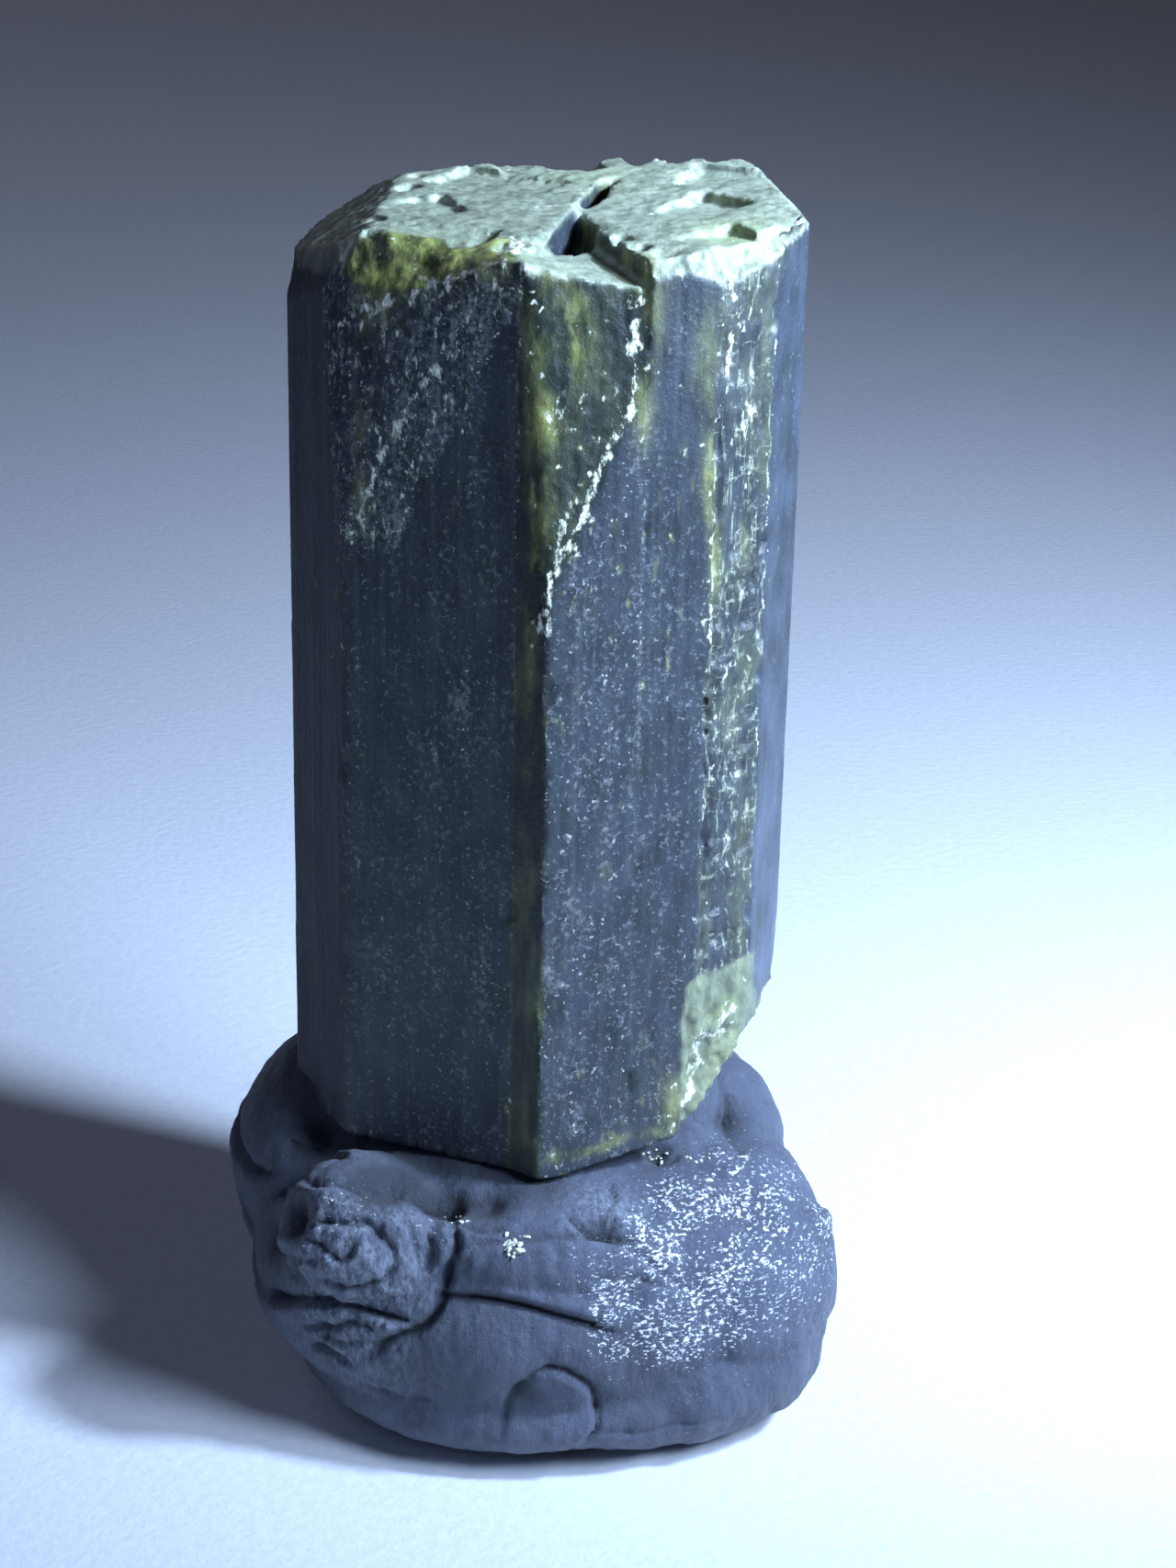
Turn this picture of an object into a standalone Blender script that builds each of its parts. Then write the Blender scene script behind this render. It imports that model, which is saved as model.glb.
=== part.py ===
"""An epidote specimen: three upright prisms grown together into one dark green crystal group,
held up in a pressed lump of grey putty. Run it in Blender 4.5. Metres, +Z up, -Y is the front."""

import math
import random

import bmesh
import bpy
from mathutils import Matrix, Vector

MM = 0.001

# Everything below is in millimetres, in a frame whose X runs right and whose Y runs to the back.
# The specimen is placed so that the middle of its box stands on the origin.
TO_ORIGIN = Vector((1.48, 0.28, 0.0))

# The crystal group leans a little to its right about a point half way up.
LEAN_DEG = 1.2
LEAN_PIVOT = Vector((0.0, 0.0, 18.7))
PRISM_BOTTOM = 5.0
PRISM_TOP = 33.0
GROUP_BASE = 7.15

# Growth grooves: how deep and how wide the fine lines along a prism face are.
GROOVE_DEPTH = 0.07
GROOVE_WIDTH = 0.24

# Each prism's corners, seen from above, anticlockwise, with the places along the side that
# follows where a growth groove runs.
LEFT_PRISM = (
    ((-7.07, 0.50), (0.30, 0.68)),
    ((-5.67, -1.91), (0.14, 0.43, 0.60, 0.86)),
    ((-1.69, -3.71), ()),
    ((-1.10, -2.16), ()),
    ((-0.52, 0.20), ()),
    ((0.00, 2.32), ()),
    ((0.90, 3.60), ()),
    ((0.55, 4.60), ()),
    ((-1.10, 4.50), (0.55,)),
    ((-2.30, 5.10), (0.35, 0.70)),
    ((-4.84, 4.61), (0.45,)),
    ((-6.53, 2.93), (0.5,)),
)
RIGHT_PRISM = (
    ((-0.62, 0.22), ()),
    ((1.17, -3.56), ()),
    ((2.75, -3.04), (0.22, 0.50, 0.78)),
    ((4.00, -1.69), (0.28, 0.52, 0.76)),
    ((4.77, 0.11), (0.33, 0.66)),
    ((4.61, 2.25), (0.5,)),
    ((3.38, 4.16), (0.3, 0.62)),
    ((1.35, 4.45), ()),
    ((0.80, 3.64), ()),
    ((-0.10, 2.36), ()),
)
FRONT_PRISM = (
    ((-2.30, -3.20), ()),
    ((-1.62, -3.76), ()),
    ((-0.95, -4.28), ()),
    ((1.13, -3.60), ()),
    ((1.40, -2.40), ()),
    ((-0.05, 0.35), ()),
    ((-0.65, 0.50), ()),
    ((-1.60, -1.60), ()),
)
BACK_RIB = (
    ((-0.75, 3.90), ()),
    ((1.30, 3.30), ()),
    ((2.10, 4.35), ()),
    ((1.55, 5.15), (0.5,)),
    ((0.15, 5.45), ()),
)

# Flat cuts through the prisms: a point on each and the way that it faces.
LEFT_TOP = (
    ((-5.06, -1.35, 29.77), (-0.03, -0.05, 1.00)),
    ((-5.06, -1.35, 29.70), (-0.449, 0.002, 0.893)),
    ((-7.07, 0.50, 27.40), (-0.858, -0.383, 0.344)),
    ((-5.06, -1.35, 29.70), (-0.521, -0.763, 0.382)),
    ((-1.30, -2.60, 29.70), (0.36, -0.40, 0.84)),
    ((-3.20, 4.40, 29.90), (-0.20, 0.62, 0.76)),
)
RIGHT_TOP = (
    ((1.24, -2.90, 29.60), (-0.035, -0.091, 0.995)),
    ((3.55, -2.05, 29.45), (0.52, -0.62, 0.58)),
    ((4.80, 0.60, 29.75), (0.74, 0.10, 0.66)),
    ((1.90, -3.32, 29.35), (0.20, -0.80, 0.56)),
)
FRONT_TOP = (
    ((-1.46, -3.71, 29.60), (0.243, 0.00, 0.970)),
)
BACK_RIB_TOP = (
    ((0.40, 4.60, 24.60), (0.22, 0.45, 0.866)),
    ((1.60, 4.60, 24.10), (0.66, 0.20, 0.72)),
)
# The long bruised bevels: the left prism's is a tall triangle that ends in a point on its front
# corner, and the front prism's is a wedge that widens upwards. Each is given by three points.
LEFT_BEVEL = ((-5.58, -1.93, 22.80), (-1.75, -3.67, 29.57), (-5.76, -1.43, 27.60))
FRONT_BEVEL = ((-0.90, -4.28, 20.95), (1.18, -3.60, 26.30), (-1.32, -3.84, 29.30))
# The open crack where the three prisms meet: a hole in front, then a slit that closes to the back.
CRACK = (
    (-1.10, -2.16),
    (-0.68, -1.91),
    (0.00, -0.72),
    (-0.45, 0.27),
    (0.16, 1.35),
    (0.27, 2.32),
    (0.86, 3.53),
    (-0.02, 2.32),
    (-0.54, 0.18),
    (-0.81, -0.95),
)
CRACK_FLOOR = 28.50
# Breaks at the foot.
RIGHT_BREAKS = (
    ((4.00, -1.69, 11.45), (0.716, -0.690, -0.108)),
    ((4.50, 0.23, 9.90), (0.75, 0.00, -0.66)),
)
FOOT_RISE = ((-0.90, -4.28, 7.13), (0.20, 0.0, -0.98))
SCOOPS = (
    ((3.55, -3.10, 9.20), (1.30, 1.00, 1.60), (0, 0, 0)),
    ((4.55, -2.10, 10.40), (0.90, 0.90, 0.90), (0, 0, 0)),
)

# Small chips knocked out of the edges: how big they are, the seed of their places, and each worn
# edge with the number of chips along it. The upright edges lean with the prisms.
CHIP_RADII = (0.12, 0.30)
CHIP_SEED = 11
RIM_CHIPS = (
    ((-5.0, -1.4, 29.75), (-1.9, -2.7, 29.85), 7),
    ((-5.0, -1.3, 29.75), (-3.9, 4.2, 30.05), 6),
    ((-1.4, -3.9, 29.6), (1.3, -3.5, 28.95), 5),
    ((1.5, -2.9, 29.6), (3.6, -2.0, 29.8), 6),
    ((4.00, -2.0, 29.4), (5.0, 0.35, 29.75), 5),
    ((3.3, 4.1, 30.3), (-1.8, 4.8, 30.2), 8),
    ((-0.6, 0.3, 29.9), (1.4, -2.8, 29.6), 4),
)
UPRIGHT_CHIPS = (
    ((2.75, -3.04), (12.5, 28.6), 12),
    ((4.00, -1.69), (12.5, 28.6), 9),
    ((-0.95, -4.28), (8.0, 20.0), 5),
    ((1.15, -3.58), (8.5, 26.0), 4),
    ((-5.67, -1.91), (9.0, 22.0), 4),
    ((-1.69, -3.71), (12.0, 28.0), 3),
)
# Shallow steps broken into the two broad tops: middle, length, width, depth at the deep end, the
# turn about the vertical and the slope, both in degrees.
TERRACES = (
    ((-4.10, 0.50), 2.4, 1.6, 0.10, 24, 2.4),
    ((-2.10, 2.70), 3.0, 1.8, 0.08, -38, -2.0),
    ((-3.10, -1.70), 2.2, 1.0, 0.08, -18, 3.0),
    ((-0.90, 4.10), 2.4, 1.5, 0.12, 12, 2.5),
    ((2.40, 0.20), 2.6, 1.4, 0.09, 52, 2.2),
    ((3.30, 2.60), 2.3, 1.7, 0.11, -24, -3.0),
    ((2.70, -1.80), 1.9, 1.0, 0.10, 33, 3.0),
)
TERRACE_TOPS = (29.86, 29.84)
TOP_RISE = (0.05, 0.09)
# The right prism's front face is broken across like the rungs of a ladder.
RUNG_SIDE = ((2.75, -3.04), (4.00, -1.69))
RUNG_HEIGHTS = (12.6, 22.4)
RUNG_COUNT = 15
RUNG_SEED = 5

# The putty: pressed balls, each with its middle, its radii, and its turns about X, Y and Z.
PUTTY_GAP = 0.30
LUMPS = (
    ((-1.35, -0.90, 3.35), (7.30, 5.85, 4.25), (0, 0, 0)),
    ((-0.90, -1.10, 1.40), (6.80, 5.60, 1.95), (0, 0, 0)),
    ((2.40, -2.60, 1.60), (3.50, 3.50, 1.90), (0, 0, 0)),
    ((-6.70, 1.35, 4.85), (2.50, 3.70, 3.45), (0, 8, 10)),
    ((-1.10, 4.20, 4.60), (5.70, 2.00, 3.50), (0, 0, 0)),
    ((4.00, 0.60, 5.60), (1.75, 2.60, 2.60), (0, -8, 0)),
    ((3.30, -1.80, 3.40), (3.00, 3.60, 3.35), (0, 0, 0)),
    ((2.30, -3.40, 4.30), (2.50, 2.10, 2.45), (0, 6, 12)),
    ((-5.35, -4.00, 5.65), (2.20, 1.95, 1.95), (0, 0, -18)),
    ((-5.00, -3.60, 3.90), (2.60, 2.00, 1.50), (0, 12, -12)),
    ((-0.80, -4.65, 5.60), (3.60, 1.65, 1.12), (0, 7, 2)),
    ((-1.10, -4.00, 6.10), (3.10, 1.40, 0.90), (0, 3, 0)),
    ((0.60, -4.95, 6.20), (1.00, 0.60, 0.36), (20, 18, -10)),
    ((-0.90, -5.35, 1.45), (1.25, 1.05, 1.28), (0, 10, 0)),
)
LUMP_SEGMENTS = 28
LUMP_RINGS = 18
SOCKET_TOP = 12.0
BLOCK_SIDE = 40.0


def clear_scene():
    for obj in list(bpy.data.objects):
        bpy.data.objects.remove(obj)


def make_collection(name, hidden=False):
    collection = bpy.data.collections.new(name)
    collection.hide_render = hidden
    bpy.context.scene.collection.children.link(collection)
    return collection


def material(name, colour, roughness):
    made = bpy.data.materials.new(name)
    made.use_nodes = True
    shader = made.node_tree.nodes["Principled BSDF"]
    shader.inputs["Base Color"].default_value = (*colour, 1.0)
    shader.inputs["Roughness"].default_value = roughness
    shader.inputs["Metallic"].default_value = 0.0
    return made


def add_mesh(name, mesh, collection, helper=False):
    obj = bpy.data.objects.new(name, mesh)
    collection.objects.link(obj)
    if helper:
        obj.hide_render = True
        obj.display_type = "WIRE"
    return obj


def grooved(corners):
    """The outline's points, with a shallow V cut across each side where a growth groove runs."""
    points = []
    for i, (corner, grooves) in enumerate(corners):
        start = Vector(corner)
        end = Vector(corners[(i + 1) % len(corners)][0])
        along = (end - start).normalized()
        inward = Vector((-along.y, along.x))
        points.append(start)
        for share in grooves:
            middle = start.lerp(end, share)
            points.append(middle - along * GROOVE_WIDTH / 2)
            points.append(middle + inward * GROOVE_DEPTH)
            points.append(middle + along * GROOVE_WIDTH / 2)
    return points


def prism(name, outline, bottom, top, collection):
    """A closed solid from an outline seen from above: a filled flat curve, extruded, then a mesh."""
    flat = bpy.data.curves.new(name + "_outline", "CURVE")
    flat.dimensions = "2D"
    flat.fill_mode = "BOTH"
    flat.extrude = (top - bottom) / 2 * MM
    spline = flat.splines.new("POLY")
    spline.points.add(len(outline) - 1)
    for point, place in zip(spline.points, outline):
        point.co = (place[0] * MM, place[1] * MM, 0.0, 1.0)
    spline.use_cyclic_u = True
    curve = bpy.data.objects.new(name + "_curve", flat)
    collection.objects.link(curve)
    bpy.context.view_layer.update()
    graph = bpy.context.evaluated_depsgraph_get()
    mesh = bpy.data.meshes.new_from_object(curve.evaluated_get(graph))
    bpy.data.objects.remove(curve)
    mesh.transform(Matrix.Translation((0, 0, (top + bottom) / 2 * MM)))
    shape = bmesh.new()
    shape.from_mesh(mesh)
    bmesh.ops.remove_doubles(shape, verts=shape.verts, dist=0.001 * MM)
    bmesh.ops.dissolve_limit(
        shape, angle_limit=math.radians(0.5), verts=shape.verts, edges=shape.edges
    )
    bmesh.ops.recalc_face_normals(shape, faces=shape.faces)
    shape.to_mesh(mesh)
    shape.free()
    return add_mesh(name, mesh, collection, helper=True)


def lean(obj):
    """Tilts a prism to the right about the pivot half way up the group."""
    pivot = Matrix.Translation(LEAN_PIVOT * MM)
    turn = Matrix.Rotation(math.radians(LEAN_DEG), 4, "Y")
    obj.data.transform(pivot @ turn @ pivot.inverted())


def slice_off(obj, point, facing):
    """Cuts away what lies beyond a plane and closes the cut with one flat face."""
    shape = bmesh.new()
    shape.from_mesh(obj.data)
    cut = bmesh.ops.bisect_plane(
        shape,
        geom=shape.verts[:] + shape.edges[:] + shape.faces[:],
        dist=1e-7,
        plane_co=Vector(point) * MM,
        plane_no=Vector(facing).normalized(),
        clear_outer=True,
    )
    edges = [e for e in cut["geom_cut"] if isinstance(e, bmesh.types.BMEdge)]
    bmesh.ops.holes_fill(shape, edges=edges, sides=0)
    bmesh.ops.remove_doubles(shape, verts=shape.verts, dist=0.0005 * MM)
    bmesh.ops.recalc_face_normals(shape, faces=shape.faces)
    shape.to_mesh(obj.data)
    shape.free()


def slice_through(obj, three_points, away_from):
    """Cuts along the plane of three points and keeps the side that holds the point away_from."""
    first, second, third = (Vector(p) for p in three_points)
    facing = (second - first).cross(third - first).normalized()
    if facing.dot(Vector(away_from) - first) > 0:
        facing.negate()
    slice_off(obj, first, facing)


def boolean(obj, operation, other):
    """A live Boolean with one object, or with all the objects of a collection."""
    modifier = obj.modifiers.new(operation.lower(), "BOOLEAN")
    modifier.operation = operation
    modifier.solver = "EXACT"
    if isinstance(other, bpy.types.Collection):
        modifier.operand_type = "COLLECTION"
        modifier.collection = other
    else:
        modifier.object = other


def leaning(x, y, z):
    """Where a point of an upright prism edge comes to once the group leans."""
    turn = Matrix.Rotation(math.radians(LEAN_DEG), 3, "Y")
    return turn @ (Vector((x, y, z)) - LEAN_PIVOT) + LEAN_PIVOT


def chip(name, place, radius, stretch, chance, collection):
    """A rough little stone of flat facets, whose bite out of an edge looks like a broken chip."""
    stone = bmesh.new()
    bmesh.ops.create_icosphere(stone, subdivisions=1, radius=radius * MM)
    spin = Matrix.Identity(4)
    for axis in "XYZ":
        spin = Matrix.Rotation(chance.uniform(0, math.tau), 4, axis) @ spin
    shape = Matrix.Translation(place * MM) @ Matrix.Diagonal((*stretch, 1.0)) @ spin
    bmesh.ops.transform(stone, matrix=shape, verts=stone.verts)
    mesh = bpy.data.meshes.new(name)
    stone.to_mesh(mesh)
    stone.free()
    add_mesh(name, mesh, collection, helper=True)


def edge_chips(collection):
    chance = random.Random(CHIP_SEED)
    runs = [(Vector(a), Vector(b), count, (1.3, 1.1, 0.8)) for a, b, count in RIM_CHIPS]
    for (x, y), (low, high), count in UPRIGHT_CHIPS:
        runs.append((leaning(x, y, low), leaning(x, y, high), count, (0.7, 0.7, 2.2)))
    for i, (start, end, count, stretch) in enumerate(runs):
        for j in range(count):
            share = (j + chance.uniform(0.1, 0.9)) / count
            nudge = Vector([chance.uniform(-0.06, 0.06) for _ in range(3)])
            place = start.lerp(end, share) + nudge
            chip(f"chip_{i}_{j}", place, chance.uniform(*CHIP_RADII), stretch, chance, collection)


def block(name, middle, sides, turn_deg, collection, slope_deg=0.0):
    """A box cutter, sloped along its length and then turned about the vertical."""
    box = bmesh.new()
    bmesh.ops.create_cube(box, size=MM)
    place = Matrix.Translation(Vector(middle) * MM)
    place @= Matrix.Rotation(math.radians(turn_deg), 4, "Z")
    place @= Matrix.Rotation(math.radians(slope_deg), 4, "Y")
    bmesh.ops.transform(box, matrix=place @ Matrix.Diagonal((*sides, 1.0)), verts=box.verts)
    mesh = bpy.data.meshes.new(name)
    box.to_mesh(mesh)
    box.free()
    add_mesh(name, mesh, collection, helper=True)


def terraces(collection):
    """Sloped box cutters that step a patch of a top down by a fraction of a millimetre."""
    for i, ((x, y), length, width, depth, turn, slope) in enumerate(TERRACES):
        side = 0 if x < 0 else 1
        level = TERRACE_TOPS[side] + TOP_RISE[side] * y - depth / 2
        middle = (x, y, level + 0.5)
        block(f"terrace_{i}", middle, (length, width, 1.0), turn, collection, slope)


def rungs(collection):
    """Thin box cutters across the right prism's front face, one above the other."""
    chance = random.Random(RUNG_SEED)
    start, end = (Vector(p) for p in RUNG_SIDE)
    side = end - start
    turn = math.degrees(math.atan2(side.y, side.x))
    for i in range(RUNG_COUNT):
        low, high = RUNG_HEIGHTS
        level = low + (high - low) * (i + chance.uniform(0.0, 0.7)) / RUNG_COUNT
        x, y = start.lerp(end, chance.uniform(0.32, 0.62))
        length = side.length * chance.uniform(0.35, 0.62)
        depth = chance.uniform(0.10, 0.24)
        height = chance.uniform(0.12, 0.34)
        block(f"rung_{i}", leaning(x, y, level), (length, depth, height), turn, collection)


def ellipsoid(name, middle, radii, turns, collection):
    ball = bmesh.new()
    bmesh.ops.create_uvsphere(ball, u_segments=LUMP_SEGMENTS, v_segments=LUMP_RINGS, radius=MM)
    turn = Matrix.Identity(4)
    for angle, axis in zip(turns, "XYZ"):
        turn = Matrix.Rotation(math.radians(angle), 4, axis) @ turn
    place = Matrix.Translation(Vector(middle) * MM) @ turn @ Matrix.Diagonal((*radii, 1.0))
    bmesh.ops.transform(ball, matrix=place, verts=ball.verts)
    mesh = bpy.data.meshes.new(name)
    ball.to_mesh(mesh)
    ball.free()
    return add_mesh(name, mesh, collection, helper=True)


def build_crystals(parts, growths, chips, breaks):
    """The three prisms and the rib behind them, cut to their ends and grown into one solid."""
    left = prism("left_prism", grooved(LEFT_PRISM), PRISM_BOTTOM, PRISM_TOP, parts)
    right = prism("right_prism", grooved(RIGHT_PRISM), PRISM_BOTTOM, PRISM_TOP, growths)
    front = prism("front_prism", grooved(FRONT_PRISM), PRISM_BOTTOM, PRISM_TOP, growths)
    rib = prism("back_rib", grooved(BACK_RIB), PRISM_BOTTOM, PRISM_TOP, growths)
    for obj in (left, right, front, rib):
        lean(obj)
        slice_off(obj, (0.0, 0.0, GROUP_BASE), (0.0, 0.0, -1.0))
    for obj, cuts in ((left, LEFT_TOP), (right, RIGHT_TOP), (front, FRONT_TOP), (rib, BACK_RIB_TOP)):
        for point, facing in cuts:
            slice_off(obj, point, facing)
    slice_through(left, LEFT_BEVEL, (-3.0, 1.0, 18.0))
    slice_through(front, FRONT_BEVEL, (0.0, -2.0, 18.0))
    for point, facing in (*RIGHT_BREAKS, FOOT_RISE):
        slice_off(right, point, facing)
    slice_off(front, *FOOT_RISE)
    edge_chips(chips)
    rungs(chips)
    terraces(breaks)
    for i, scoop in enumerate(SCOOPS):
        ellipsoid(f"scoop_{i}", *scoop, breaks)
    lean(prism("crack", [Vector(p) for p in CRACK], CRACK_FLOOR, PRISM_TOP, breaks))

    left.name = "epidote_crystals"
    left.hide_render = False
    left.display_type = "TEXTURED"
    boolean(left, "UNION", growths)
    boolean(left, "DIFFERENCE", chips)
    boolean(left, "DIFFERENCE", breaks)
    left.location = TO_ORIGIN * MM
    left.data.materials.append(material("epidote", (0.055, 0.075, 0.055), 0.38))
    return left


def widened(outline, by):
    """The outline with every corner moved outwards by the same clearance."""
    points = []
    for i, here in enumerate(outline):
        before = outline[i - 1]
        after = outline[(i + 1) % len(outline)]
        first = (here - before).normalized()
        second = (after - here).normalized()
        normals = Vector((first.y, -first.x)) + Vector((second.y, -second.x))
        reach = by / max(normals.length / 2, 0.3)
        points.append(here + normals.normalized() * reach)
    return points


def group_outline():
    """The outer corners of the whole group, seen from above, anticlockwise."""
    corners = [p for p, _ in LEFT_PRISM[:2]] + [p for p, _ in FRONT_PRISM[1:4]]
    corners += [p for p, _ in RIGHT_PRISM[2:7]] + [p for p, _ in BACK_RIB[3:]]
    corners += [p for p, _ in LEFT_PRISM[-3:]]
    return [Vector(c) for c in corners]


def build_putty(parts, presses, cutters):
    """The pressed lump: balls run into one, flat underneath, with a socket for the crystal foot."""
    putty = ellipsoid("putty_base", *LUMPS[0], parts)
    for i, lump in enumerate(LUMPS[1:]):
        ellipsoid(f"press_{i}", *lump, presses)
    socket = prism(
        "socket", widened(group_outline(), PUTTY_GAP), PRISM_BOTTOM, SOCKET_TOP, cutters
    )
    lean(socket)
    slice_off(socket, (0.0, 0.0, GROUP_BASE - PUTTY_GAP), (0.0, 0.0, -1.0))
    ground = bmesh.new()
    bmesh.ops.create_cube(ground, size=BLOCK_SIDE * MM)
    bmesh.ops.translate(ground, vec=(0.0, 0.0, -BLOCK_SIDE / 2 * MM), verts=ground.verts)
    mesh = bpy.data.meshes.new("ground")
    ground.to_mesh(mesh)
    ground.free()
    table = add_mesh("ground", mesh, cutters, helper=True)
    putty.hide_render = False
    putty.display_type = "TEXTURED"
    boolean(putty, "UNION", presses)
    boolean(putty, "DIFFERENCE", socket)
    boolean(putty, "DIFFERENCE", table)
    putty.location = TO_ORIGIN * MM
    putty.data.materials.append(material("putty", (0.20, 0.22, 0.27), 0.62))
    putty.data.shade_smooth()
    return putty


def build():
    clear_scene()
    parts = make_collection("epidote_specimen")
    growths = make_collection("growths", hidden=True)
    chips = make_collection("chips", hidden=True)
    breaks = make_collection("breaks", hidden=True)
    presses = make_collection("presses", hidden=True)
    cutters = make_collection("cutters", hidden=True)
    build_crystals(parts, growths, chips, breaks)
    build_putty(parts, presses, cutters)
    # The helpers stand where the parts do, so that every Boolean meets its object.
    for helpers in (growths, chips, breaks, presses, cutters):
        for obj in helpers.objects:
            obj.location = TO_ORIGIN * MM


build()
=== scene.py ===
import math
import random

import bmesh
import bpy
import numpy as np
from mathutils import Matrix, Vector, noise
from mathutils.bvhtree import BVHTree
from mathutils.kdtree import KDTree


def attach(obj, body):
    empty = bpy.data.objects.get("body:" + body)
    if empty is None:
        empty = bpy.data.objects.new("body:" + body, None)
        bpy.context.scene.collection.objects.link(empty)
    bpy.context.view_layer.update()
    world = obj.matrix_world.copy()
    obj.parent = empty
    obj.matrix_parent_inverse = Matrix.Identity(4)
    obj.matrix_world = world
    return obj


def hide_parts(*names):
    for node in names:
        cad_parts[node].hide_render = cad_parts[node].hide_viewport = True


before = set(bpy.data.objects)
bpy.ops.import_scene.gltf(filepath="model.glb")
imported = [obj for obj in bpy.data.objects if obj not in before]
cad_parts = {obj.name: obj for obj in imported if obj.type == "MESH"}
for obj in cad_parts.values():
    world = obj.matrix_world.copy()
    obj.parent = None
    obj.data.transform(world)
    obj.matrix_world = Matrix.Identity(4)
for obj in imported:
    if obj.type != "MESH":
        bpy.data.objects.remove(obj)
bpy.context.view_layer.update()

# The camera looks slightly down on the specimen from close by, as a phone held over a table does.
# Its picture is 1280 by 1707, and sight_line gives the way from it through a place in that picture.
PICTURE = (1280, 1707)
CAMERA_PLACE = Vector((0.00148, -0.07273, 0.04529))
CAMERA_PITCH = math.radians(22)
LENS_MM = 73.8
SENSOR_MM = 36.0

camera_data = bpy.data.cameras.new("camera")
camera_data.lens = LENS_MM
camera_data.sensor_width = SENSOR_MM
camera_data.clip_start = 0.001
camera_data.clip_end = 10.0
camera = bpy.data.objects.new("camera", camera_data)
camera.location = CAMERA_PLACE
camera.rotation_euler = (math.pi / 2 - CAMERA_PITCH, 0.0, 0.0)
bpy.context.scene.collection.objects.link(camera)
bpy.context.scene.camera = camera


def sight_line(x, y):
    ahead = LENS_MM / SENSOR_MM * PICTURE[1]
    ray = Vector((x - PICTURE[0] / 2, PICTURE[1] / 2 - y, -ahead)).normalized()
    return camera.rotation_euler.to_matrix() @ ray


# The crystal group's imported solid, merged into one skin. The putty is pressed against it, and the
# finished crystals are carved from it. All carving is done in millimetres.
MM = 0.001


def merged_copy(name):
    skin = bmesh.new()
    skin.from_mesh(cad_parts[name].data)
    bmesh.ops.scale(skin, vec=(1 / MM,) * 3, verts=skin.verts)
    bmesh.ops.remove_doubles(skin, verts=skin.verts, dist=0.0005)
    bmesh.ops.dissolve_limit(
        skin, angle_limit=math.radians(0.4), verts=skin.verts, edges=skin.edges
    )
    return skin


# Carving takes a little off every side, so the group starts a little wide.
STAND = Vector((1.48, 0.28, 0.0))
WIDER = 1.02
GROUP_LEAN = math.radians(1.2)
LEAN_PIVOT = Vector((0.0, 0.0, 18.7))

rough_crystals = merged_copy("epidote_crystals")
bmesh.ops.scale(
    rough_crystals, vec=(WIDER, WIDER, 1.0), verts=rough_crystals.verts,
    space=Matrix.Translation(-STAND),
)
bmesh.ops.triangulate(rough_crystals, faces=rough_crystals.faces)
crystal_skin = BVHTree.FromBMesh(rough_crystals)

# The putty is one soft lump, rolled between the fingers and pressed onto the table, with the foot
# of the crystals pushed into it. Its balls have run together, and its folds, finger marks and the
# little pellet at its front are pressed and pinched into the surface.
BALLS = (
    ((-1.35, -0.90, 3.35), (7.30, 5.85, 4.25), (0, 0, 0)),
    ((-0.90, -1.10, 1.40), (6.80, 5.60, 1.95), (0, 0, 0)),
    ((2.40, -2.60, 1.60), (3.50, 3.50, 1.90), (0, 0, 0)),
    ((-6.70, 1.35, 4.85), (2.50, 3.70, 3.45), (0, 8, 10)),
    ((-1.10, 4.20, 4.60), (5.70, 2.00, 3.50), (0, 0, 0)),
    ((2.30, 0.60, 5.60), (2.70, 2.60, 2.60), (0, -8, 0)),
    ((3.30, -1.80, 3.40), (3.00, 3.60, 3.35), (0, 0, 0)),
    ((2.30, -3.40, 4.30), (2.50, 2.10, 2.45), (0, 6, 12)),
    ((-5.35, -4.00, 5.65), (2.20, 1.95, 1.95), (0, 0, -18)),
    ((-5.00, -3.60, 3.90), (2.60, 2.00, 1.50), (0, 12, -12)),
    ((-0.80, -4.65, 5.60), (3.60, 1.65, 1.12), (0, 7, 2)),
    ((-1.10, -4.00, 6.10), (3.10, 1.40, 0.90), (0, 3, 0)),
    ((0.60, -4.95, 6.20), (1.00, 0.60, 0.36), (20, 18, -10)),
    ((-0.90, -5.35, 1.45), (1.25, 1.05, 1.28), (0, 10, 0)),
)
BALL_SEGMENTS = 64
PUTTY_VOXEL = 0.092
PUTTY_SMOOTHING = 7
PRESSED_IN = 0.03


def balls_pressed_flat():
    balls = bmesh.new()
    for middle, radii, turns in BALLS:
        ball = bmesh.ops.create_uvsphere(
            balls, u_segments=BALL_SEGMENTS, v_segments=BALL_SEGMENTS // 2, radius=1.0
        )["verts"]
        turn = Matrix.Identity(4)
        for angle, axis in zip(turns, "XYZ"):
            turn = Matrix.Rotation(math.radians(angle), 4, axis) @ turn
        place = Matrix.Translation(Vector(middle) + STAND) @ turn @ Matrix.Diagonal((*radii, 1.0))
        bmesh.ops.transform(balls, matrix=place, verts=ball)
    cut = bmesh.ops.bisect_plane(
        balls,
        geom=balls.verts[:] + balls.edges[:] + balls.faces[:],
        dist=1e-5,
        plane_co=(0.0, 0.0, 0.0),
        plane_no=(0.0, 0.0, -1.0),
        clear_outer=True,
    )
    rims = [e for e in cut["geom_cut"] if isinstance(e, bmesh.types.BMEdge)]
    bmesh.ops.holes_fill(balls, edges=rims, sides=0)
    mesh = bpy.data.meshes.new("balls")
    balls.to_mesh(mesh)
    balls.free()
    return mesh


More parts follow.
